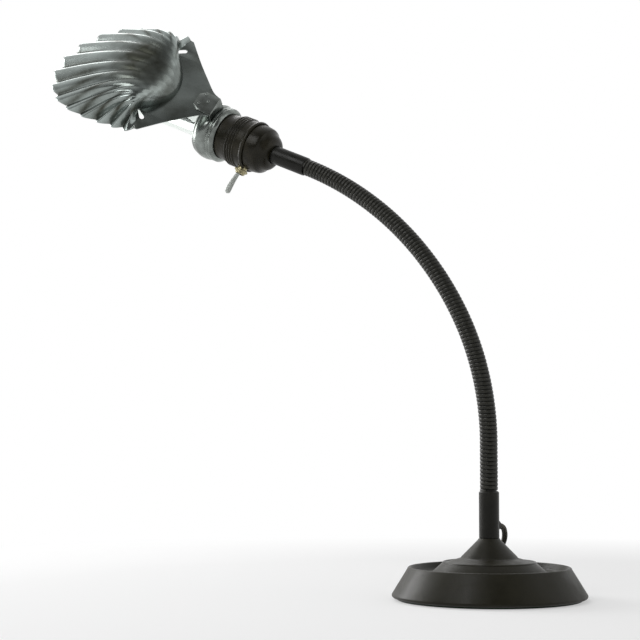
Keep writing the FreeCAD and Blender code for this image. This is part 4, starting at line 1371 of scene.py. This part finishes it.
    def plate(self, finishes: Finishes) -> Object:
        """The flat neck plate with its two ear openings."""
        side = curve_through(self.plate_sides(), 8)
        ear = self.rim_point(0.0)
        heel = [self.heel_point(i / 60) for i in range(61)]
        rim = side + [Vector((ear.x - 0.3, ear.y - 0.3))] + [Vector((p.x + 0.35, p.y)) for p in heel]
        rim += [Vector((ear.x - 0.3, 0.3 - ear.y))] + [Vector((p.x, -p.y)) for p in reversed(side)]
        loops = [rim] + [self.slot(hand) for hand in (-1, 1)]
        loops = [[(p.x * MM, p.y * MM, 0.0) for p in loop] for loop in loops]
        mesh = curve_mesh("neck_plate", "POLY", loops, {"use_cyclic_u": True},
                          dimensions="2D", fill_mode="BOTH", bevel_depth=self.plate_bevel * MM,
                          extrude=(self.sheet / 2 - self.plate_bevel) * MM, bevel_resolution=2)
        with opened(mesh) as work:
            merge_doubles(work)
        mesh.transform(self.frames.shade.moved(0, 0, -self.sheet / 2).matrix())
        plate = smoothed(new_object("neck_plate", mesh, finishes.aluminium), 30)
        # Painted reflection: the whole plate is darkened evenly, for the dark room mirrored in it.
        mark(plate, "tarnish_and_painted_shade", lambda _: self.plate_painted_reflection)
        return plate

    def slot(self, hand: int) -> list[Vector]:
        """The outline of an ear's opening."""
        turn = math.radians(self.slot_turn) * hand
        along = Vector((math.cos(turn), math.sin(turn)))
        across = Vector((-along.y, along.x))
        middle = Vector((self.slot_x, hand * self.slot_y))
        half, radius = (self.slot_length - self.slot_width) / 2, self.slot_width / 2
        points = []
        for end in (1, -1):
            for i in range(9):
                angle = math.pi * (i / 8 - 0.5)
                points.append(middle + along * end * (half + radius * math.cos(angle))
                              + across * end * radius * math.sin(angle))
        return points

    def rivet_heads(self, finishes: Finishes) -> Object:
        """Low round rivet heads on the lug, with their tails behind the plate."""
        place = self.frames.shade
        heads = []
        top = self.lug_thickness
        low = -self.sheet - 0.6
        for index, (x, y) in enumerate(self.rivets):
            rivet = turned(f"rivet_{index}", [
                (0.0, low), (1.4, low), (1.4, -self.sheet), (0.9, -self.sheet), (0.9, top),
                (self.rivet_radius + 0.45, top), (self.rivet_radius + 0.2, top + 0.65, 0.0, top + 0.9)],
                place.moved(x, y, 0.0), finishes.ring, 32, 0.1)
            heads.append(rivet)
        return joined("lug_rivets", heads)


def curve_through(points: Sequence[Vector], steps: int) -> list[Vector]:
    """A smooth line through plane points, steps points to each span."""
    result = []
    for i in range(len(points) - 1):
        before, start = points[max(i - 1, 0)], points[i]
        end, after = points[i + 1], points[min(i + 2, len(points) - 1)]
        for k in range(steps):
            s = k / steps
            result.append(0.5 * ((2 * start) + (end - before) * s
                                 + (2 * before - 5 * start + 4 * end - after) * s * s
                                 + (3 * start - before - 3 * end + after) * s ** 3))
    return result + [points[-1].copy()]


def joined(name: str, pieces: Sequence[Object]) -> Object:
    """Joins loose pieces of one material into one object."""
    mesh = bpy.data.meshes.new(name)
    with opened(mesh) as work:
        for piece in pieces:
            work.from_mesh(piece.data)
    material = pieces[0].data.materials[0]
    for piece in pieces:
        bpy.data.objects.remove(piece)
    return new_object(name, mesh, material)


@dataclass(frozen=True)
class Bulb:
    """The clear tubular bulb, in millimetres along the head's axis."""

    frames: HeadFrames
    radius: float = 10.2
    wall: float = 0.8
    start: float = 38.5
    cap_length: float = 24.0
    length: float = 118.0
    cap_radius: float = 13.1
    cap_ribs: int = 5

    def build(self, finishes: Finishes) -> list[Object]:
        """Makes the glass and the screw cap."""
        foot = self.start + self.cap_length - 6.0
        end = self.start + self.length
        outer, inner, part = self.radius, self.radius - self.wall, math.sqrt(0.5)
        glass = turned("clear_tube_bulb", [
            (0.0, foot), (outer, foot), (outer, end - outer),
            (outer * part, end - outer + outer * part, 0.0, end), (0.0, end - self.wall),
            (inner * part, end - outer + inner * part, inner, end - outer), (inner, foot + 1.4),
            (0.0, foot + 1.4)],
            self.frames.head, finishes.glass, 96, 0.3)
        cap = turned("bulb_screw_cap", self.cap_outline(), self.frames.head, finishes.steel, 96, 0.3)
        for piece, node, slot in ((glass, "bulb_glass", "bulb_glass"), (cap, "bulb_cap", "shade_aluminium")):
            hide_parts(node)
            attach(piece, "head")
        return [glass, cap]

    def cap_outline(self) -> list[tuple]:
        """The ribbed screw cap's outline."""
        start, skirt, crest = self.start, self.start + self.cap_length, self.cap_radius
        pitch = (self.cap_length - 8.0) / self.cap_ribs
        bore, lip = 4.2, self.radius + 0.1
        return [(8.0, start), (crest - 0.8, start + 1.8),
                *ribs(start + 2.0, pitch, self.cap_ribs, (crest - 0.7, crest), (0.15, 0.42)),
                (crest - 0.4, skirt - 4.0), (self.radius + 1.4, skirt), (lip, skirt), (lip, skirt - 6.0),
                (bore, skirt - 6.0), (bore, start)]


@dataclass(frozen=True)
class Cord:
    """The mains cord: its free run, the put-away coil and the tail to the plug, in millimetres."""

    diameter: float = 4.4
    length: float = 1804.0
    exit_heading: float = 50.0
    inner_end: float = 6.4
    straight: float = 18.5
    exit_height: float = 56.5
    coil_centre: tuple = (-15.0, 134.0)
    coil_pitch: float = 4.9
    coil_layer: float = 4.9
    coil_inner_radius: float = 15.3
    turns_in_layer: float = 4.708
    start_angle: float = 210.0
    lift: float = 3.1
    points_per_turn: int = 18
    sides: int = 14
    line_samples: int = 10

    def coil_point(self, turn: float) -> Vector:
        """The coil's centre line, in millimetres; turn counts whole turns from its start."""
        angle = math.radians(self.start_angle) - math.tau * turn
        radius = self.coil_inner_radius + self.coil_pitch * abs(turn - self.turns_in_layer)
        height = self.lift + self.coil_layer * smooth_step((turn - self.turns_in_layer) / 0.5 + 0.5)
        return Vector((self.coil_centre[0] + radius * math.cos(angle),
                       self.coil_centre[1] + radius * math.sin(angle), height))

    def route(self) -> list[Vector]:
        """The control points of the whole cord, in metres."""
        heading = math.radians(self.exit_heading)
        total = 2 * self.turns_in_layer
        count = int(total * self.points_per_turn)
        coil = [self.coil_point(total * i / count) for i in range(count + 1)]
        start_dir = (coil[1] - coil[0]).normalized()
        end_dir = (coil[-1] - coil[-2]).normalized()
        lead = self.diameter
        run = [Vector((math.cos(heading) * reach, math.sin(heading) * reach, self.exit_height))
               for reach in (self.inner_end, self.straight)]
        run += [Vector(point) for point in (
            (15.0, 23.5, 48.0), (13.5, 32.5, 38.8), (9.5, 46.0, 34.8), (7.0, 59.0, 32.5), (6.5, 71.0, 27.5),
            (4.5, 80.5, 18.5), (-3.5, 86.5, 9.0), (-15.5, 90.5, 3.4), (-29.0, 93.5, 2.9))]
        run += [coil[0] - start_dir * (lead + 12.0), coil[0] - start_dir * lead]
        tail = [coil[-1] + end_dir * lead, coil[-1] + end_dir * (lead + 15.0), Vector((35.5, 149.0, 5.5)),
                Vector((41.7, 128.0, 5.5))]
        return [point * MM for point in run + coil + tail]

    def line(self) -> list[Vector]:
        """Points along the smooth spline through the route."""
        mesh = curve_mesh("cord_line", "NURBS", [self.route()],
                          {"order_u": 3, "use_endpoint_u": True, "resolution_u": self.line_samples},
                          dimensions="3D")
        return [vert.co.copy() for vert in mesh.vertices]

    def build(self, frame: dict, finishes: Finishes) -> list[Object]:
        """Args:
            frame: the loaded frame; not used.
            finishes: the lamp's materials.

        Returns:
            The cord.
        """
        points = self.line()
        cord = self.tube(points, finishes.braid)
        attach(cord, "root")
        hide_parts("power_cord", "cord_coil", "cord_tail")
        return [cord]

    def tube(self, points: Sequence[Vector], material: Material) -> Object:
        """A round tube along the points, with a UV map in turns round it and metres along it."""
        rings = rings_along(points, [self.diameter / 2 * MM] * len(points), self.sides, UP.copy())
        lengths = [0.0]
        for before, point in zip(points, points[1:]):
            lengths.append(lengths[-1] + (point - before).length)
        mesh = bpy.data.meshes.new("braided_cord")
        verts = [tuple(v) for ring in rings for v in ring]
        faces, uvs = [], []
        for i in range(len(rings) - 1):
            low, high = i * self.sides, (i + 1) * self.sides
            for k in range(self.sides):
                m = (k + 1) % self.sides
                faces.append((low + k, low + m, high + m, high + k))
                a, b = k / self.sides, (k + 1) / self.sides
                uvs += [(a, lengths[i]), (b, lengths[i]), (b, lengths[i + 1]), (a, lengths[i + 1])]
        last = (len(rings) - 1) * self.sides
        faces += [tuple(reversed(range(self.sides))), tuple(range(last, last + self.sides))]
        uvs += [(0.0, 0.0)] * self.sides + [(0.0, lengths[-1])] * self.sides
        mesh.from_pydata(verts, [], faces)
        layer = mesh.uv_layers.new(name="UVMap")
        for loop, uv in zip(layer.data, uvs):
            loop.uv = uv
        return smoothed(new_object("braided_cord", mesh, material), 50)


# Studio

@dataclass(frozen=True)
class Studio:
    """Floor, soft lights, pale world and the camera at the photograph's place."""

    camera_place: tuple = (-0.1302, -1.350, 0.135)
    camera_target: tuple = (-0.1302, 0.0, 0.215)
    focal_px: float = 1745.0
    image_px: float = 640.0
    sensor_mm: float = 36.0
    backdrop: tuple = (1.0, 1.0, 1.0, 1.0)
    floor_fade: tuple = (0.12, 0.75)
    floor_glow: float = 0.45
    floor_half: float = 6.0
    floor_colour: tuple = (0.86, 0.86, 0.86, 1.0)
    floor_drop: float = 0.0004
    room_span: tuple = (-0.75, 0.35)
    room_front: float = 0.15
    room_diffuse: float = 0.42

    def build(self) -> None:
        """Makes the whole studio."""
        self.floor()
        self.world()
        self.lamp("key_light", (-0.9, -1.0, 1.25), (-0.1, 0.05, 0.2), 0.9, 10.0)
        self.lamp("fill_light", (1.2, -0.7, 0.8), (-0.05, 0.0, 0.2), 1.1, 3.5)
        self.lamp("rim_light", (-0.5, 1.1, 1.1), (-0.15, 0.1, 0.25), 0.8, 5.0)
        self.lamp("side_light", (-1.25, 0.7, 0.6), (-0.15, 0.0, 0.2), 0.7, 11.0)
        self.camera()

    def floor(self) -> None:
        """A plain pale floor that reads white to the camera but keeps the shadow."""
        mesh = bpy.data.meshes.new("floor")
        half = self.floor_half
        mesh.from_pydata([(-half, -half, 0), (half, -half, 0), (half, half, 0), (-half, half, 0)],
                         [], [(0, 1, 2, 3)])
        material, graph, shader = Finish.begin("floor_finish")
        graph.feed(shader, {"Base Color": self.floor_colour, "Roughness": 0.9, "Specular IOR Level": 0.1})
        place = graph.add("ShaderNodeTexCoord").outputs["Object"]
        away = graph.add("ShaderNodeVectorMath", {0: place}, operation="LENGTH").outputs["Value"]
        rays = graph.add("ShaderNodeLightPath").outputs
        seen = graph.maths("MAXIMUM", rays["Is Camera Ray"], rays["Is Glossy Ray"])
        seen = graph.maths("MAXIMUM", seen, rays["Is Transmission Ray"])
        near = graph.maths("MAXIMUM", graph.ramp(away, *self.floor_fade), self.floor_glow)
        glow = graph.out("ShaderNodeEmission", {"Color": self.backdrop, "Strength": 1.0})
        blend = graph.out("ShaderNodeMixShader", {0: graph.maths("MULTIPLY", seen, near),
                                                  1: shader.outputs[0], 2: glow})
        graph.feed(material.node_tree.nodes["Material Output"], {"Surface": blend})
        floor = new_object("studio_floor", mesh, material)
        floor.location.z = -self.floor_drop

    def world(self) -> None:
        """A pale world: white where it is seen or mirrored, softer as a light."""
        world = bpy.data.worlds.new("studio_world")
        world.use_nodes = True
        graph = Graph(world.node_tree)
        rays = graph.add("ShaderNodeLightPath").outputs
        seen = graph.maths("MAXIMUM", rays["Is Camera Ray"], rays["Is Transmission Ray"])
        place = graph.add("ShaderNodeTexCoord").outputs["Generated"]
        split = graph.add("ShaderNodeSeparateXYZ", {"Vector": place}).outputs
        low, high = self.room_span
        depth = graph.out("ShaderNodeMapRange", {
            "Value": split["Y"], "From Min": low, "From Max": high, "To Min": self.room_front,
            "To Max": 1.0}, interpolation_type="SMOOTHSTEP")
        share = graph.spread(rays["Is Glossy Ray"], self.room_diffuse, 1.0)
        graph.feed(world.node_tree.nodes["Background"], {
            "Color": self.backdrop,
            "Strength": graph.maths("MAXIMUM", seen, graph.maths("MULTIPLY", depth, share))})
        bpy.context.scene.world = world

    def lamp(self, name: str, place: tuple, target: tuple, size: float, power: float) -> None:
        """A square area light aimed at a point."""
        light = bpy.data.lights.new(name, "AREA")
        light.shape = "SQUARE"
        light.size = size
        light.energy = power
        self.aimed(name, light, place, target)

    def aimed(self, name: str, data: ID, place: tuple, target: tuple) -> Object:
        """A light or camera at a place, turned to a target."""
        piece = in_scene(name, data)
        piece.location = place
        piece.rotation_euler = (Vector(target) - Vector(place)).to_track_quat("-Z", "Y").to_euler()
        return piece

    def camera(self) -> None:
        """The camera where the photograph was taken from."""
        data = bpy.data.cameras.new("photo_camera")
        data.sensor_width = self.sensor_mm
        data.lens = self.focal_px / self.image_px * self.sensor_mm
        bpy.context.scene.camera = self.aimed("photo_camera", data, self.camera_place, self.camera_target)


def dress_nodes(frame: dict, finishes: Finishes) -> None:
    """Gives every node of the frame its procedural finish.

    Args:
        frame: the loaded frame.
        finishes: the lamp's materials.
    """
    by_slot = {"base_paint": finishes.base, "felt": finishes.felt, "steel": finishes.steel,
               "cord_rubber": finishes.rubber, "neck_black": finishes.neck, "holder_brown": finishes.holder,
               "liner_card": finishes.card, "ceramic": finishes.porcelain, "brass": finishes.brass,
               "lever_ivory": finishes.ivory, "shade_aluminium": finishes.ring, "bulb_glass": finishes.glass,
               "filament": finishes.steel, "lead_wire": finishes.lead, "cord_cloth": finishes.braid,
               "tie_paper": finishes.strap, "plug_plastic": finishes.plug}
    slots = {entry["node"]: entry["material_slot"] for entry in frame["record"]["subparts"]}
    for name, node in frame["nodes"].items():
        dressed(node, by_slot[slots[name]])


def main() -> None:
    """Builds the whole scene round the frame."""
    logging.basicConfig(level=logging.INFO, format="%(message)s")
    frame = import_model()
    bpy.context.scene.view_settings.view_transform = "Standard"
    finishes = Finishes()
    dress_nodes(frame, finishes)
    Studio().build()
    neck = Neck()
    frames = HeadFrames(neck)
    makers: list[tuple[str, Callable[[], list]]] = [
        ("cord", lambda: Cord().build(frame, finishes)),
        ("base", lambda: Base().build(finishes)),
        ("neck", lambda: neck.build(finishes)),
        ("lampholder", lambda: Lampholder(frames).build(finishes)),
        ("shade", lambda: Shade(frames).build(finishes)),
        ("bulb", lambda: Bulb(frames).build(finishes)),
    ]
    for label, make in makers:
        for piece in make():
            log.info("%s: %s, %d faces", label, piece.name, len(piece.data.polygons))


if __name__ == "__main__":
    main()
